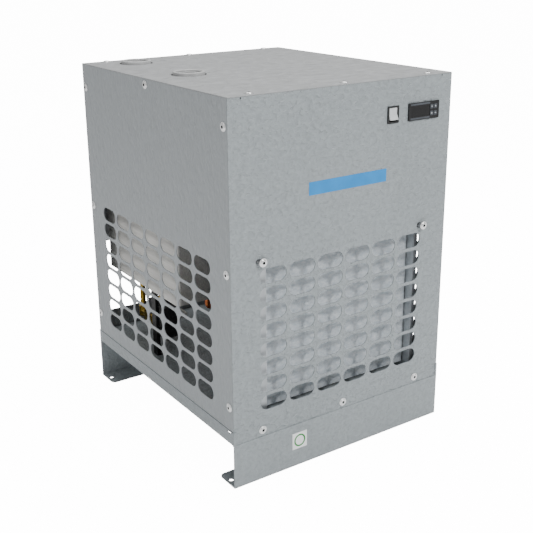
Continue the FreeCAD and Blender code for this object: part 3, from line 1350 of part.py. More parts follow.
# ---------------------------------------------------------------- badge and label
def make_badges():
    thick = size("label_thick")
    half_x, half_z = size("badge_width") / 2, size("badge_height") / 2
    x, level = size("badge_x"), (hang_level + control_level) / 2 + size("badge_rise")
    badge = box("badge_plate", x - half_x, panel_front - thick, level - half_z, x + half_x,
                panel_front, level + half_z)
    x, level, half = size("label_x"), size("label_level"), size("label_size") / 2
    label = box("label_plate", x - half, front - thick, level - half, x + half, front,
                level + half)
    finish(group("printed_labels", [badge, label]), "blank_labels")


make_base_pan()
make_front_panel()
make_rear_panel()
make_side_panel("left_panel", panel_left, panel_left + wall, "left")
make_side_panel("right_panel", panel_right, panel_right - wall, "right")
make_top_cover()
make_screws()
make_fins()
finish(group("condenser_channels", [
    make_condenser_plate("left_channel", plate_inner_left, -1, size("left_flange")),
    make_condenser_plate("right_channel", plate_inner_right, 1, size("right_flange")),
]), "condenser_plates")
make_condenser_tube()
make_shroud()
make_fan()
make_motor()
make_exchanger()
make_refrigerant_circuit(make_compressor())
make_drain()
make_controls()
make_switch()
make_electrics()
make_badges()
doc.recompute()

# ---------------------------------------------------------------- checks and export
problems = []
for item in doc.Objects:
    if "Invalid" in item.State or "Error" in item.State:
        problems.append(f"{item.Name}: {item.State}")
    if item.TypeId == "PartDesign::Pocket" and item.BaseFeature:
        if item.BaseFeature.Shape.Volume - item.Shape.Volume < 0.01:
            problems.append(f"{item.Name}: cuts nothing")
for piece in finished:
    if piece.Shape.isNull() or not piece.Shape.isValid() or piece.Shape.Volume <= 0:
        problems.append(f"{piece.Label}: shape is not valid")
if problems:
    raise RuntimeError("\n".join(problems))

os.makedirs("parts", exist_ok=True)
for piece in finished:
    piece.Shape.exportStep(os.path.join("parts", f"{piece.Label}.step"))
    reach = piece.Shape.BoundBox
    print(f"{piece.Label}: {len(piece.Shape.Solids)} solids, x {reach.XMin:.1f}..{reach.XMax:.1f}, "
          f"y {reach.YMin:.1f}..{reach.YMax:.1f}, z {reach.ZMin:.1f}..{reach.ZMax:.1f}")
print(f"{len(finished)} sub-parts")
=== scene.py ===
import json
import math
import bmesh
import bpy
from mathutils import Matrix, Vector


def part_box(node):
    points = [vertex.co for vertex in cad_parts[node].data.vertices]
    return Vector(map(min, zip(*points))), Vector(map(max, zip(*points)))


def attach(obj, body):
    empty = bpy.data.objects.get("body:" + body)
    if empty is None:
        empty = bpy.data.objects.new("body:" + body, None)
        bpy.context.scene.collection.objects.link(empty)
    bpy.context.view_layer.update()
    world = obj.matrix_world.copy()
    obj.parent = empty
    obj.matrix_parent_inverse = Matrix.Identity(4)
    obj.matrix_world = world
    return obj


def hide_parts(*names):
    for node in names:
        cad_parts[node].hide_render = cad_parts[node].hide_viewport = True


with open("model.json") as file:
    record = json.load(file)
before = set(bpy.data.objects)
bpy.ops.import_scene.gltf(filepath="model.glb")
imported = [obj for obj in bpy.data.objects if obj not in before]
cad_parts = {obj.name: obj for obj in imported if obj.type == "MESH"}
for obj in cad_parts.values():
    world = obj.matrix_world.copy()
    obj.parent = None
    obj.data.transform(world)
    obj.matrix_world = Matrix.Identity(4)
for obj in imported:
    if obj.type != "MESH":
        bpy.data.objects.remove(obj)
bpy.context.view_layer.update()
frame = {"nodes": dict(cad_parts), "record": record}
nodes = frame["nodes"]
mm = 0.001
root = "dryer"
print("stage: frame loaded,", len(nodes), "nodes")


# ---- small helpers

def fromHex(code):
    # sRGB hex to the linear colour that shaders use
    parts = [int(code[i:i + 2], 16) / 255 for i in (0, 2, 4)]
    linear = [c / 12.92 if c <= 0.04045 else ((c + 0.055) / 1.055) ** 2.4 for c in parts]
    return (*linear, 1.0)


def addNode(tree, kind, settings, links=None):
    # settings name either a property of the node or one of its sockets
    node = tree.nodes.new(kind)
    for key, value in settings.items():
        if isinstance(key, str) and hasattr(node, key):
            setattr(node, key, value)
        else:
            node.inputs[key].default_value = value
    for key, source in (links or {}).items():
        tree.links.new(source, node.inputs[key])
    return node


def startMaterial(name, settings):
    # a Principled shader with its constants set on its own sockets
    material = bpy.data.materials.new(name)
    material.use_nodes = True
    tree = material.node_tree
    tree.nodes.clear()
    shader = addNode(tree, "ShaderNodeBsdfPrincipled", settings)
    addNode(tree, "ShaderNodeOutputMaterial", {}, {"Surface": shader.outputs[0]})
    coords = addNode(tree, "ShaderNodeTexCoord", {})
    return material, tree, shader, coords.outputs["Object"]


def noise(tree, coords, cycle, stretch=(1, 1, 1), detail=3, rough=0.5, warp=0.0):
    # cycle is the pattern's real size in millimetres
    mapped = addNode(tree, "ShaderNodeMapping", {"Scale": stretch}, {"Vector": coords})
    return addNode(tree, "ShaderNodeTexNoise",
                   {"Scale": 1000 / cycle, "Detail": detail, "Roughness": rough,
                    "Distortion": warp}, {"Vector": mapped.outputs[0]}).outputs[0]


def ramp(tree, source, low, high, first, last):
    # carries source, between low and high, to a run from first to last
    return addNode(tree, "ShaderNodeMapRange",
                   {"From Min": low, "From Max": high, "To Min": first, "To Max": last},
                   {"Value": source}).outputs[0]


def tint(tree, factor, dark, light):
    mixed = addNode(tree, "ShaderNodeMix",
                    {"data_type": "RGBA", 6: fromHex(dark), 7: fromHex(light)}, {0: factor})
    return mixed.outputs[2]


def bump(tree, shader, height, depth):
    # depth is the relief in millimetres
    node = addNode(tree, "ShaderNodeBump", {"Strength": 1.0, "Distance": depth * mm},
                   {"Height": height})
    tree.links.new(node.outputs[0], shader.inputs["Normal"])


# ---- materials

def hammeredPaint(name, s):
    # powder coat sprayed on folded steel: orange-peel relief, slight blotches, satin sheen
    material, tree, shader, coords = startMaterial(name, {
        "IOR": 1.5, "Metallic": 0.0, "Specular IOR Level": s["specular"]})
    blotch = noise(tree, coords, s["blotchMm"], s["blotchStretch"], 1, 0.3, 0.6)
    broad = noise(tree, coords, s["broadMm"], (1, 1, 0.5), 2)
    streak = noise(tree, coords, s["streakMm"], (1, 1, 0.02), 3)
    mixA = addNode(tree, "ShaderNodeMath", {"operation": "MULTIPLY_ADD", 1: s["streak"]},
                   {0: streak, 2: blotch})
    mixB = addNode(tree, "ShaderNodeMath", {"operation": "MULTIPLY_ADD", 1: s["broad"]},
                   {0: broad, 2: mixA.outputs[0]})
    top = 1 + s["streak"] + s["broad"]
    shade = ramp(tree, mixB.outputs[0], 0.3 * top, 0.7 * top, 0, 1)
    tree.links.new(tint(tree, shade, s["dark"], s["light"]), shader.inputs["Base Color"])
    tree.links.new(ramp(tree, blotch, 0.3, 0.7, s["rough"] - 0.06, s["rough"] + 0.06),
                   shader.inputs["Roughness"])
    bump(tree, shader, blotch, s["reliefMm"])
    return material


paint = {"dark": "8f9699", "light": "9da4a7", "rough": 0.42, "specular": 0.4, "streak": 0.0,
         "streakMm": 9, "broad": 0.35, "broadMm": 160, "blotchMm": 8,
         "blotchStretch": (0.8, 0.8, 1.2), "reliefMm": 4.5}
frontPaint = hammeredPaint("powderCoatFront", paint)
sidePaint = hammeredPaint("powderCoatSide", {
    **paint, "dark": "959a9d", "light": "9da2a5", "streak": 0.5,
    "blotchStretch": (1, 1, 0.5), "reliefMm": 2.4})
# painted light: the top cover's copy is mixed lighter than the front and side copies, standing
# in for the light falling on it from above
topLitPaint = hammeredPaint("powderCoatTopLit", {
    **paint, "dark": "989a9b", "light": "a6a8a9", "blotchMm": 20,
    "blotchStretch": (1, 1, 1), "reliefMm": 5.0})
basePaint = hammeredPaint("powderCoatBase", {**paint, "reliefMm": 2.5})


def brightZinc():
    # bright zinc plate on steel screws: near mirror, slightly milky, fine turning marks
    material, tree, shader, coords = startMaterial("brightZincPlate", {"Metallic": 1.0})
    grain = noise(tree, coords, 3, (1, 1, 1), 4)
    tree.links.new(tint(tree, grain, "e6e7e8", "fbfbfa"), shader.inputs["Base Color"])
    tree.links.new(ramp(tree, grain, 0.2, 0.8, 0.22, 0.4), shader.inputs["Roughness"])
    return material


def socketShadePaint():
    # painted shade: a near-black colour in the hex sockets of the screws, standing in for the
    # shade deep in each recess
    material, tree, shader, coords = startMaterial("socketShadePaint", {"Metallic": 0.3})
    grain = noise(tree, coords, 2, (1, 1, 1), 3)
    tree.links.new(tint(tree, grain, "161718", "2c2e30"), shader.inputs["Base Color"])
    tree.links.new(ramp(tree, grain, 0.2, 0.8, 0.6, 0.8), shader.inputs["Roughness"])
    return material


def galvanisedSheet():
    # hot-dip galvanised sheet: dull grey with soft spangle
    material, tree, shader, coords = startMaterial("galvanisedSheet", {"Metallic": 0.85})
    cells = addNode(tree, "ShaderNodeTexVoronoi", {"Scale": 1000 / 9}, {"Vector": coords})
    haze = noise(tree, coords, 40)
    both = addNode(tree, "ShaderNodeMath", {"operation": "MULTIPLY_ADD", 1: 0.5},
                   {0: cells.outputs["Distance"], 2: haze})
    tree.links.new(tint(tree, both.outputs[0], "a2a6a9", "c4c8cb"), shader.inputs["Base Color"])
    tree.links.new(ramp(tree, haze, 0.3, 0.7, 0.45, 0.62), shader.inputs["Roughness"])
    bump(tree, shader, cells.outputs["Distance"], 0.02)
    return material


def finStock():
    # bare aluminium fins, dusted and combed: pale blue-grey with a blotchy grain
    material, tree, shader, coords = startMaterial("aluminiumFinStock", {"Metallic": 0.1,
                                                                         "Roughness": 0.6})
    grain = noise(tree, coords, 6, (0.7, 1, 1.6), 4, 0.7)
    tree.links.new(tint(tree, ramp(tree, grain, 0.35, 0.65, 0, 1), "d3dce3", "f6fafd"),
                   shader.inputs["Base Color"])
    bump(tree, shader, grain, 0.5)
    return material


def brushedAluminium():
    # brushed aluminium jacket: long fine scratches along the length
    material, tree, shader, coords = startMaterial("brushedAluminium", {
        "Metallic": 0.7, "Anisotropic": 0.4})
    scratch = noise(tree, coords, 2.4, (1, 0.03, 1), 3, 0.6)
    haze = noise(tree, coords, 55, (1, 0.5, 1), 3)
    both = addNode(tree, "ShaderNodeMath", {"operation": "MULTIPLY_ADD", 1: 0.8},
                   {0: scratch, 2: haze})
    tree.links.new(tint(tree, ramp(tree, both.outputs[0], 0.6, 1.2, 0, 1), "bab9b6", "e2e1dd"),
                   shader.inputs["Base Color"])
    tree.links.new(ramp(tree, scratch, 0.3, 0.7, 0.38, 0.55), shader.inputs["Roughness"])
    bump(tree, shader, scratch, 0.01)
    return material


def metalTube(name, s):
    # drawn or turned metal with handling stains
    material, tree, shader, coords = startMaterial(name, {"Metallic": 1.0})
    stain = noise(tree, coords, s["stainMm"], (1, 1, 1), 4, 0.6)
    tree.links.new(tint(tree, ramp(tree, stain, 0.3, 0.7, 0, 1), s["dark"], s["light"]),
                   shader.inputs["Base Color"])
    tree.links.new(ramp(tree, stain, 0.3, 0.7, s["rough"] + 0.12, s["rough"] - 0.04),
                   shader.inputs["Roughness"])
    return material


def moulded(name, s):
    # moulded or stove-enamelled surface: fine texture, slightly uneven gloss
    material, tree, shader, coords = startMaterial(name, {"IOR": 1.5})
    fine = noise(tree, coords, s["grainMm"], (1, 1, 1), 3)
    broad = noise(tree, coords, 25)
    tree.links.new(tint(tree, ramp(tree, broad, 0.3, 0.7, 0, 1), s["dark"], s["light"]),
                   shader.inputs["Base Color"])
    tree.links.new(ramp(tree, fine, 0.3, 0.7, s["rough"] - 0.05, s["rough"] + 0.05),
                   shader.inputs["Roughness"])
    bump(tree, shader, fine, s["reliefMm"])
    return material


finishes = {
    "painted_sheet": basePaint,
    "screw_zinc": brightZinc(),
    "aluminium_fins": finStock(),
    "galvanised": galvanisedSheet(),
    "copper": metalTube("drawnCopper", {"stainMm": 18, "dark": "8a4a2c", "light": "d08050",
                                        "rough": 0.32}),
    "brass_fittings": metalTube("turnedBrass", {"stainMm": 14, "dark": "9c7d2c",
                                                "light": "d8bc5c", "rough": 0.3}),
    "black_enamel": moulded("blackStoveEnamel", {"dark": "0c0c0d", "light": "17181a",
                                                 "rough": 0.35, "grainMm": 2, "reliefMm": 0.03}),
    "rubber_mounts": moulded("mouldedRubber", {"dark": "0d0d0d", "light": "1a1a1a",
                                               "rough": 0.8, "grainMm": 1, "reliefMm": 0.05}),
    "exchanger_jacket": brushedAluminium(),
    "socket_steel": moulded("paintedSteelSocket", {"dark": "a6a7a7", "light": "c2c3c3",
                                                   "rough": 0.45, "grainMm": 3,
                                                   "reliefMm": 0.05}),
    "black_plastic": moulded("absBlackMatte", {"dark": "141415", "light": "1f2021",
                                               "rough": 0.55, "grainMm": 0.8, "reliefMm": 0.03}),
    "gloss_black": moulded("absBlackGloss", {"dark": "08080a", "light": "0e0f11",
                                             "rough": 0.3, "grainMm": 1, "reliefMm": 0.01}),
    "display_glass": moulded("smokedAcrylic", {"dark": "030304", "light": "070708",
                                               "rough": 0.2, "grainMm": 6, "reliefMm": 0.0}),
    "key_grey": moulded("siliconeKey", {"dark": "3a3e43", "light": "4d5259",
                                        "rough": 0.4, "grainMm": 1, "reliefMm": 0.02}),
    "rocker_grey": moulded("polyamideRocker", {"dark": "c6c9cb", "light": "d9dcdd",
                                               "rough": 0.3, "grainMm": 2, "reliefMm": 0.01}),
    "fan_plastic": moulded("glassFilledNylon", {"dark": "151617", "light": "222325",
                                                "rough": 0.5, "grainMm": 2, "reliefMm": 0.03}),
    "motor_steel": moulded("motorPaint", {"dark": "2a2d2f", "light": "3a3d40", "rough": 0.45,
                                          "grainMm": 3, "reliefMm": 0.04}),
    "white_hose": moulded("naturalNylonTube", {"dark": "c9cbc6", "light": "dedfda",
                                               "rough": 0.4, "grainMm": 4, "reliefMm": 0.01}),
    "label_film": moulded("printedBlueFilm", {"dark": "0083cc", "light": "008dd8",
                                              "rough": 0.35, "grainMm": 3, "reliefMm": 0.005}),
    "cable_sheath": moulded("pvcSheath", {"dark": "111112", "light": "1c1c1d", "rough": 0.5,
                                          "grainMm": 2, "reliefMm": 0.03}),
    "terminal_grey": moulded("terminalPolyamide", {"dark": "9a9d9b", "light": "b3b6b4",
                                                   "rough": 0.5, "grainMm": 1,
                                                   "reliefMm": 0.02}),
}
ink = {"rough": 0.4, "grainMm": 3, "reliefMm": 0.005}
printWhite = moulded("printedWhiteFilm", {**ink, "dark": "f2f3f3", "light": "fbfbfb"})
printGreen = moulded("printedGreenInk", {**ink, "dark": "007a1e", "light": "068626"})
printDark = moulded("printedDarkInk", {**ink, "dark": "6f7577", "light": "7b8183", "rough": 0.5})
# painted highlight: pale colour for the key marks, standing in for the glints on the keys
keyGlintPaint = moulded("paintedKeyGlint", {**ink, "dark": "dfe2e4", "light": "f2f3f4",
                                         "rough": 0.5})
socketShade = socketShadePaint()
slotOf = {part["node"]: part["material_slot"] for part in frame["record"]["subparts"]}
special = {"front_panel": frontPaint, "left_panel": sidePaint, "right_panel": sidePaint,
           "rear_panel": sidePaint, "top_cover": topLitPaint, "base_pan": basePaint}
for name, node in nodes.items():
    chosen = special.get(name, finishes[slotOf[name]])
    node.data.materials.clear()
    node.data.materials.append(chosen)
print("stage: materials on the frame")


# ---- mesh helpers

def keepPiece(name, bm, material, body=root, smoothAngle=35):
    bmesh.ops.recalc_face_normals(bm, faces=bm.faces[:])
    mesh = bpy.data.meshes.new(name)
    bm.to_mesh(mesh)
    bm.free()
    piece = bpy.data.objects.new(name, mesh)
    bpy.context.scene.collection.objects.link(piece)
    for entry in material if isinstance(material, list) else [material]:
        mesh.materials.append(entry)
    mesh.shade_smooth()
    mesh.set_sharp_from_angle(angle=math.radians(smoothAngle))
    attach(piece, body)
    return piece


def centreOf(node):
    low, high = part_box(node)
    return (low + high) / 2


def addBlock(bm, low, high, bevel=0.0, segments=2):
    # a block between two corners, its edges rounded
    size = [high[i] - low[i] for i in range(3)]
    middle = [(high[i] + low[i]) / 2 for i in range(3)]
    matrix = Matrix.Translation(middle) @ Matrix.Diagonal((*size, 1))
    made = bmesh.ops.create_cube(bm, size=1, matrix=matrix)
    if bevel:
        edges = {edge for vert in made["verts"] for edge in vert.link_edges}
        bmesh.ops.bevel(bm, geom=list(edges), offset=bevel, segments=segments,
                        profile=0.5, affect="EDGES", material=-1)


def spinProfile(bm, profile, steps, closed=False):
    # profile is (radius, height) pairs in metres, turned about Z
    verts = [bm.verts.new((r, 0, z)) for r, z in profile]
    pairs = list(zip(verts, verts[1:]))
    if closed:
        pairs.append((verts[-1], verts[0]))
    edges = [bm.edges.new(pair) for pair in pairs]
    bmesh.ops.spin(bm, geom=verts + edges, cent=(0, 0, 0), axis=(0, 0, 1),
                   angle=math.tau, steps=steps, use_merge=True, use_duplicate=False)
    bmesh.ops.remove_doubles(bm, verts=bm.verts[:], dist=1e-6)


def turned(direction):
    return Vector(direction).to_track_quat("Z", "Y").to_matrix().to_4x4()


# ---- screws: flanged button heads with a hex socket

screwSizes = {"flangeRadius": 8.0, "flangeHeight": 1.2, "crownRadius": 6.2, "crownHeight": 2.6,
              "rimRadius": 3.4, "socketAcross": 5.2, "socketDepth": 2.2, "shankRadius": 2.9,
              "shankLength": 11.0, "edge": 0.2, "rimLow": 0.3, "rimHigh": 0.7, "steps": 24,
              "domeSteps": 6}
screwRows = {"edgeIn": 12.5, "topX": (-195, 0, 195), "sideZ": (156.5, 402.5, 652),
             "sideMiddleDrop": 12, "lowX": (-183, 0, 183), "lowZ": 98.8, "twistStep": 0.37,
             "hangX": (-183, 183), "hangShank": 15.0, "hangTwist": 0.4}


def screwMesh(s):
    bm = bmesh.new()
    dome = []
    for i in range(s["domeSteps"] + 1):
        angle = math.pi / 2 * i / s["domeSteps"]
        r = s["rimRadius"] + (s["crownRadius"] - s["rimRadius"]) * math.cos(angle)
        z = s["flangeHeight"] + (s["crownHeight"] - s["flangeHeight"]) * math.sin(angle)
        dome.append((r * mm, z * mm))
    profile = [(s["shankRadius"] * mm, -s["shankLength"] * mm), (s["shankRadius"] * mm, 0),
               ((s["flangeRadius"] - s["edge"]) * mm, 0),
               (s["flangeRadius"] * mm, s["rimLow"] * mm),
               (s["flangeRadius"] * mm, s["rimHigh"] * mm),
               ((s["flangeRadius"] - s["edge"] * 2) * mm, s["flangeHeight"] * mm)] + dome
    spinProfile(bm, profile, s["steps"])
    top = s["crownHeight"] * mm
    rim = [e for e in bm.edges if e.is_boundary and e.verts[0].co.z > top - 1e-6]
    tip = [e for e in bm.edges if e.is_boundary and e.verts[0].co.z < 0]
    bmesh.ops.contextual_create(bm, geom=tip)
    for level in (top, top - s["socketDepth"] * mm):
        made = bmesh.ops.extrude_edge_only(bm, edges=rim)["geom"]
        for vert in (g for g in made if isinstance(g, bmesh.types.BMVert)):
            angle = math.atan2(vert.co.y, vert.co.x)
            fromFlat = (angle + math.pi / 6) % (math.pi / 3) - math.pi / 6
            r = s["socketAcross"] / 2 * mm / math.cos(fromFlat)
            vert.co = (r * math.cos(angle), r * math.sin(angle), level)
        rim = [g for g in made if isinstance(g, bmesh.types.BMEdge)]
    bmesh.ops.contextual_create(bm, geom=rim)
    inside = (s["socketAcross"] / 2 + 0.1) / math.cos(math.pi / 6) * mm
    # the socket's walls and floor take the second material, the painted shade in the recess
    for face in bm.faces:
        centre = face.calc_center_median()
        if 0 < centre.z < top - 1e-6 and centre.xy.length < inside:
            face.material_index = 1
    return bm


def placeScrews(name, places, s, stands):
    # places are (seat point, outward direction, turn of the socket in radians)
    bm = bmesh.new()
    source = screwMesh(s)
    mesh = bpy.data.meshes.new(name + "Source")
    source.to_mesh(mesh)
    source.free()
    for point, outward, twist in places:
        start = len(bm.verts)
        bm.from_mesh(mesh)
        bm.verts.ensure_lookup_table()
        matrix = Matrix.Translation(point) @ turned(outward) @ Matrix.Rotation(twist, 4, "Z")
        bmesh.ops.transform(bm, matrix=matrix, verts=bm.verts[start:])
    bpy.data.meshes.remove(mesh)
    # the second material is the painted shade inside the hex sockets
    piece = keepPiece(name, bm, [finishes["screw_zinc"], socketShade])
    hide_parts(stands)


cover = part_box("top_cover")
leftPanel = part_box("left_panel")
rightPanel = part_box("right_panel")
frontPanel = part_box("front_panel")
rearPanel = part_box("rear_panel")
edgeIn = screwRows["edgeIn"] * mm       # from the panels' outer edges to the screws
faceFront, faceRear = frontPanel[0].y, rearPanel[1].y
middleY = (cover[0].y + cover[1].y) / 2
screwPlaces = []
for y in (cover[0].y + edgeIn, cover[1].y - edgeIn):
    screwPlaces += [(Vector((x * mm, y, cover[1].z)), (0, 0, 1)) for x in screwRows["topX"]]
    for z in screwRows["sideZ"]:
        screwPlaces.append((Vector((leftPanel[0].x, y, z * mm)), (-1, 0, 0)))
        screwPlaces.append((Vector((rightPanel[1].x, y, z * mm)), (1, 0, 0)))
middleZ = cover[1].z - screwRows["sideMiddleDrop"] * mm
for x, out in ((leftPanel[0].x, -1), (rightPanel[1].x, 1)):
    screwPlaces.append((Vector((x, middleY, middleZ)), (out, 0, 0)))
lowZ = screwRows["lowZ"] * mm
for x in screwRows["lowX"]:
    screwPlaces.append((Vector((x * mm, faceFront, lowZ)), (0, -1, 0)))
    screwPlaces.append((Vector((x * mm, faceRear, lowZ)), (0, 1, 0)))
turnedPlaces = [(point, out, screwRows["twistStep"] * index)
                for index, (point, out) in enumerate(screwPlaces)]
placeScrews("cabinetScrews", turnedPlaces, screwSizes, "cabinet_screws")
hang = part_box("condenser_screws")
hangLevel = (hang[0].z + hang[1].z) / 2
hangSeat = hang[0].y + screwSizes["crownHeight"] * mm
hangPlaces = [(Vector((x * mm, hangSeat, hangLevel)), (0, -1, 0), screwRows["hangTwist"])
              for x in screwRows["hangX"]]
hangHead = {**screwSizes, "shankLength": screwRows["hangShank"]}
placeScrews("condenserScrews", hangPlaces, hangHead, "condenser_screws")
print("stage: screws")


# ---- condenser fins

finSizes = {"pitch": 2.4, "thick": 1.1, "wave": 0.45, "rows": 40, "waves": 12,
            "shift": 0.6}


def condenserFins(s):
    # thin upright plates, each slightly waved along its height
    low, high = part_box("condenser_fins")
    bm = bmesh.new()
    count = int((high.x - low.x) / (s["pitch"] * mm))
    for i in range(count):
        x = low.x + (i + 0.5) * s["pitch"] * mm
        verts = bmesh.ops.create_grid(
            bm, x_segments=1, y_segments=s["rows"], size=0.5,
            matrix=Matrix.Rotation(math.pi / 2, 4, "Z") @ Matrix.Rotation(math.pi / 2, 4, "X"),
        )["verts"]
        for vert in verts:
            phase = vert.co.z * math.tau * s["waves"] + i * s["shift"]
            wave = math.sin(phase) * s["wave"] * mm
            front = vert.co.y < 0
            vert.co = (x + (wave if front else 0),
                       low.y if front else high.y,
                       low.z + (vert.co.z + 0.5) * (high.z - low.z))
    bmesh.ops.solidify(bm, geom=bm.faces[:], thickness=s["thick"] * mm)
    piece = keepPiece("condenserFinPlates", bm, finishes["aluminium_fins"])
    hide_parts("condenser_fins")


condenserFins(finSizes)
print("stage: condenser fins")


# ---- controller face

displaySizes = {"band": 3.2, "bandTop": 4.6, "bandLow": 1.6, "bandLeft": 4, "mark": 2.6,
                "stroke": 1.0, "thick": 0.15}


def controllerGlintMarks(s):
    # painted reflections and highlights: pale bands above and below the window stand in for the
    # reflections across the dark window, and a pale mark shaped as a key symbol stands in for
    # the glint on each key
    low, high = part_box("controller_housing")
    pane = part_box("display_window")
    thick = s["thick"] * mm
    bm = bmesh.new()
    for z in (high.z - s["bandTop"] * mm, low.z + s["bandLow"] * mm):
        addBlock(bm, (low.x + s["bandLeft"] * mm, low.y - thick, z),
                 (pane[1].x, low.y, z + s["band"] * mm), 0.05 * mm, 1)
    keepPiece("controllerReflectionBands", bm, finishes["key_grey"])
    mark = s["mark"] * mm / 2
    stroke = s["stroke"] * mm / 2
    for index in range(1, 5):
        centre = centreOf(f"key_{index}")
        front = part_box(f"key_{index}")[0].y
        bm = bmesh.new()
        if index % 2:
            sides = 3 if index == 1 else 4
            matrix = (Matrix.Translation((centre.x, front - thick / 2, centre.z))
                      @ Matrix.Rotation(math.pi / 2, 4, "X")
                      @ Matrix.Rotation(math.pi / 2, 4, "Z"))
            bmesh.ops.create_cone(bm, cap_ends=True, segments=sides, radius1=mark,
                                  radius2=mark, depth=thick, matrix=matrix)
        else:
            addBlock(bm, (centre.x - mark, front - thick, centre.z - stroke),
                     (centre.x + mark, front, centre.z + stroke), 0.04 * mm, 1)
            if index == 2:
                addBlock(bm, (centre.x - stroke, front - thick, centre.z - mark),
                         (centre.x + stroke, front, centre.z + mark), 0.04 * mm, 1)
        body = next(b for b, members in frame["record"]["behaviour"]["bodies"].items()
                    if f"key_{index}" in members)
        keepPiece(f"keyGlintMark{index}", bm, keyGlintPaint, body)


controllerGlintMarks(displaySizes)
print("stage: controller face")


# ---- printed labels: a plain blue strip, and a plain white square with a green ring

labelSizes = {"stripLeft": -83, "stripHeight": 23.5, "thick": 0.3, "square": 33,
              "ringInner": 9.6, "ringOuter": 12.6, "ringThick": 0.06, "steps": 48}


def labels(s):
    low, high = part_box("blank_labels")
    thick = s["thick"] * mm
    side = s["square"] * mm
    bm = bmesh.new()
    addBlock(bm, (s["stripLeft"] * mm, faceFront - thick, high.z - s["stripHeight"] * mm),
             (high.x, faceFront, high.z), 0.1 * mm, 1)
    strip = keepPiece("blueStrip", bm, finishes["label_film"])
    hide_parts("blank_labels")
    bm = bmesh.new()
    addBlock(bm, low, (low.x + side, low.y + thick, low.z + side), 0.08 * mm, 1)
    keepPiece("whiteSquare", bm, printWhite)
    inner, outer, ringTop = (s[key] * mm for key in ("ringInner", "ringOuter", "ringThick"))
    bm = bmesh.new()
    spinProfile(bm, [(inner, 0), (outer, 0), (outer, ringTop), (inner, ringTop)], s["steps"],
                closed=True)
    middle = Matrix.Translation((low.x + side / 2, low.y, low.z + side / 2))
    bmesh.ops.transform(bm, matrix=middle @ turned((0, -1, 0)), verts=bm.verts[:])
    keepPiece("greenRing", bm, printGreen)


labels(labelSizes)
print("stage: labels")


# ---- top: pipe threads and flow arrows

threadSizes = {"pitch": 2.3, "turns": 20, "crest": 23.0, "rootRadius": 23.85, "below": 4,
               "steps": 48}
arrowSizes = {"away": 26, "tail": 9, "nose": 5, "half": 1, "head": 5, "thick": 0.08,
              "tipAhead": 9, "tipBehind": 13}


def socketThreads(s):
    low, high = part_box("air_sockets")
    x = (low.x + high.x) / 2
    radius = (high.x - low.x) / 2
    for index, y in enumerate((low.y + radius, high.y - radius)):
        bm = bmesh.new()
        profile = []
        base = high.z - s["below"] * mm - s["turns"] * s["pitch"] * mm
        for i in range(s["turns"]):
            profile.append((s["rootRadius"] * mm, base + i * s["pitch"] * mm))
            profile.append((s["crest"] * mm, base + (i + 0.5) * s["pitch"] * mm))
        profile.append((s["rootRadius"] * mm, base + s["turns"] * s["pitch"] * mm))
        spinProfile(bm, profile, s["steps"], closed=True)
        bmesh.ops.transform(bm, matrix=Matrix.Translation((x, y, 0)), verts=bm.verts[:])
        keepPiece(f"socketThread{index + 1}", bm, finishes["socket_steel"])


def flowArrows(s):
    # a plain arrow beside each socket, one pointing away from the other
    low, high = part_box("air_sockets")
    radius = (high.x - low.x) / 2
    level = cover[1].z
    thick = s["thick"] * mm
    x = high.x + s["away"] * mm
    for index, y in enumerate((low.y + radius, high.y - radius)):
        bm = bmesh.new()
        addBlock(bm, (x - s["tail"] * mm, y - s["half"] * mm, level),
                 (x + s["nose"] * mm, y + s["half"] * mm, level + thick))
        tip = x + s["tipAhead"] * mm if index else x - s["tipBehind"] * mm
        matrix = (Matrix.Translation((tip, y, level + thick / 2))
                  @ Matrix.Rotation(0 if index else math.pi, 4, "Z"))
        bmesh.ops.create_cone(bm, cap_ends=True, segments=3, radius1=s["head"] * mm,
                              radius2=s["head"] * mm, depth=thick, matrix=matrix)
        keepPiece(f"flowArrow{index + 1}", bm, printDark)


socketThreads(threadSizes)
flowArrows(arrowSizes)
print("stage: top details")


# ---- stage, light and camera

studio = {"floorHex": "f4f5f5", "floorHalf": 60, "floorGlow": 14.0, "floorBounce": 0.18,
          "worldStrength": 0.5, "keyPower": 62, "keySize": 0.5, "topPower": 72, "topSize": 2.4,
          "fillPower": 5, "fillSize": 2.0}
photoView = {"eye": (-0.9878, -1.4753, 0.9234), "aim": (0, 0, 0.350), "rollDeg": -0.6136,
             "lensMm": 61.34, "shiftX": 0.01355, "shiftY": -0.0512}


def studioFloor(s):
    bm = bmesh.new()
    bmesh.ops.create_grid(bm, x_segments=8, y_segments=8, size=s["floorHalf"])
    mesh = bpy.data.meshes.new("studioFloor")
    bm.to_mesh(mesh)
    bm.free()
    floor = bpy.data.objects.new("studioFloor", mesh)
    bpy.context.scene.collection.objects.link(floor)
    material, tree, shader, coords = startMaterial("paleFloor", {
        "Roughness": 0.9, "Emission Color": (1, 1, 1, 1)})
    path = addNode(tree, "ShaderNodeLightPath", {})
    glow = ramp(tree, path.outputs["Is Camera Ray"], 0, 1, s["floorBounce"], s["floorGlow"])
    tree.links.new(glow, shader.inputs["Emission Strength"])
    grain = noise(tree, coords, 900)
    tree.links.new(tint(tree, grain, s["floorHex"], "fbfbfb"), shader.inputs["Base Color"])
    mesh.materials.append(material)


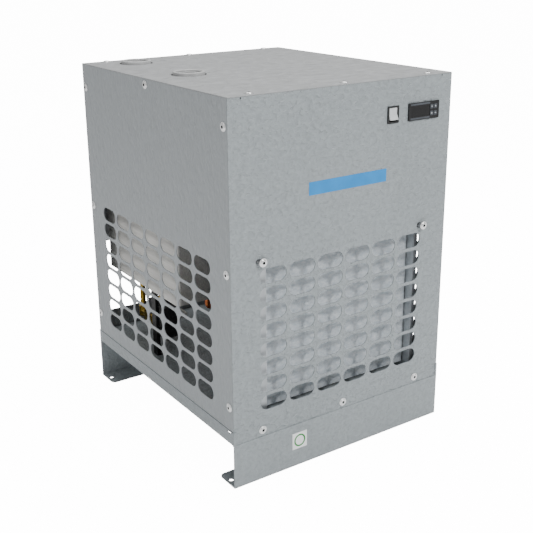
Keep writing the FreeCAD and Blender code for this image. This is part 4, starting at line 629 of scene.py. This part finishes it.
def areaLight(name, power, size, place, aim):
    light = bpy.data.lights.new(name, "AREA")
    light.energy = power
    light.shape = "DISK"
    light.size = size
    lamp = bpy.data.objects.new(name, light)
    lamp.location = place
    lamp.rotation_mode = "QUATERNION"
    lamp.rotation_quaternion = (Vector(aim) - Vector(place)).to_track_quat("-Z", "Y")
    bpy.context.scene.collection.objects.link(lamp)


def studioLight(s):
    world = bpy.data.worlds.new("softWorld")
    world.use_nodes = True
    tree = world.node_tree
    tree.nodes.clear()
    sky = addNode(tree, "ShaderNodeBackground", {"Color": (1, 1, 1, 1),
                                                 "Strength": s["worldStrength"]})
    addNode(tree, "ShaderNodeOutputWorld", {}, {"Surface": sky.outputs[0]})
    bpy.context.scene.world = world
    areaLight("keyLight", s["keyPower"], s["keySize"], (0.7, -2.7, 2.4), (0, 0, 0.45))
    areaLight("topLight", s["topPower"], s["topSize"], (0.2, 0.2, 3.2), (0, 0, 0.5))
    areaLight("fillLight", s["fillPower"], s["fillSize"], (-2.6, -0.4, 1.6), (0, 0, 0.3))


def photoCamera(s):
    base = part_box("base_pan")
    centre = Vector(((base[0].x + base[1].x) / 2, (base[0].y + base[1].y) / 2, base[0].z))
    eye = Vector(s["eye"])
    back = (eye - Vector(s["aim"])).normalized()
    right = Vector((0, 0, 1)).cross(back).normalized()
    up = back.cross(right)
    roll = math.radians(s["rollDeg"])
    tiltedRight = right * math.cos(roll) + up * math.sin(roll)
    tiltedUp = up * math.cos(roll) - right * math.sin(roll)
    data = bpy.data.cameras.new("photoCamera")
    data.lens = s["lensMm"]
    data.sensor_width = 36
    data.shift_x, data.shift_y = s["shiftX"], s["shiftY"]
    camera = bpy.data.objects.new("photoCamera", data)
    turn = Matrix((tiltedRight, tiltedUp, back)).transposed()
    camera.matrix_world = Matrix.Translation(centre + eye) @ turn.to_4x4()
    bpy.context.scene.collection.objects.link(camera)
    bpy.context.scene.camera = camera


studioFloor(studio)
studioLight(studio)
photoCamera(photoView)
print("stage: floor, light and camera")
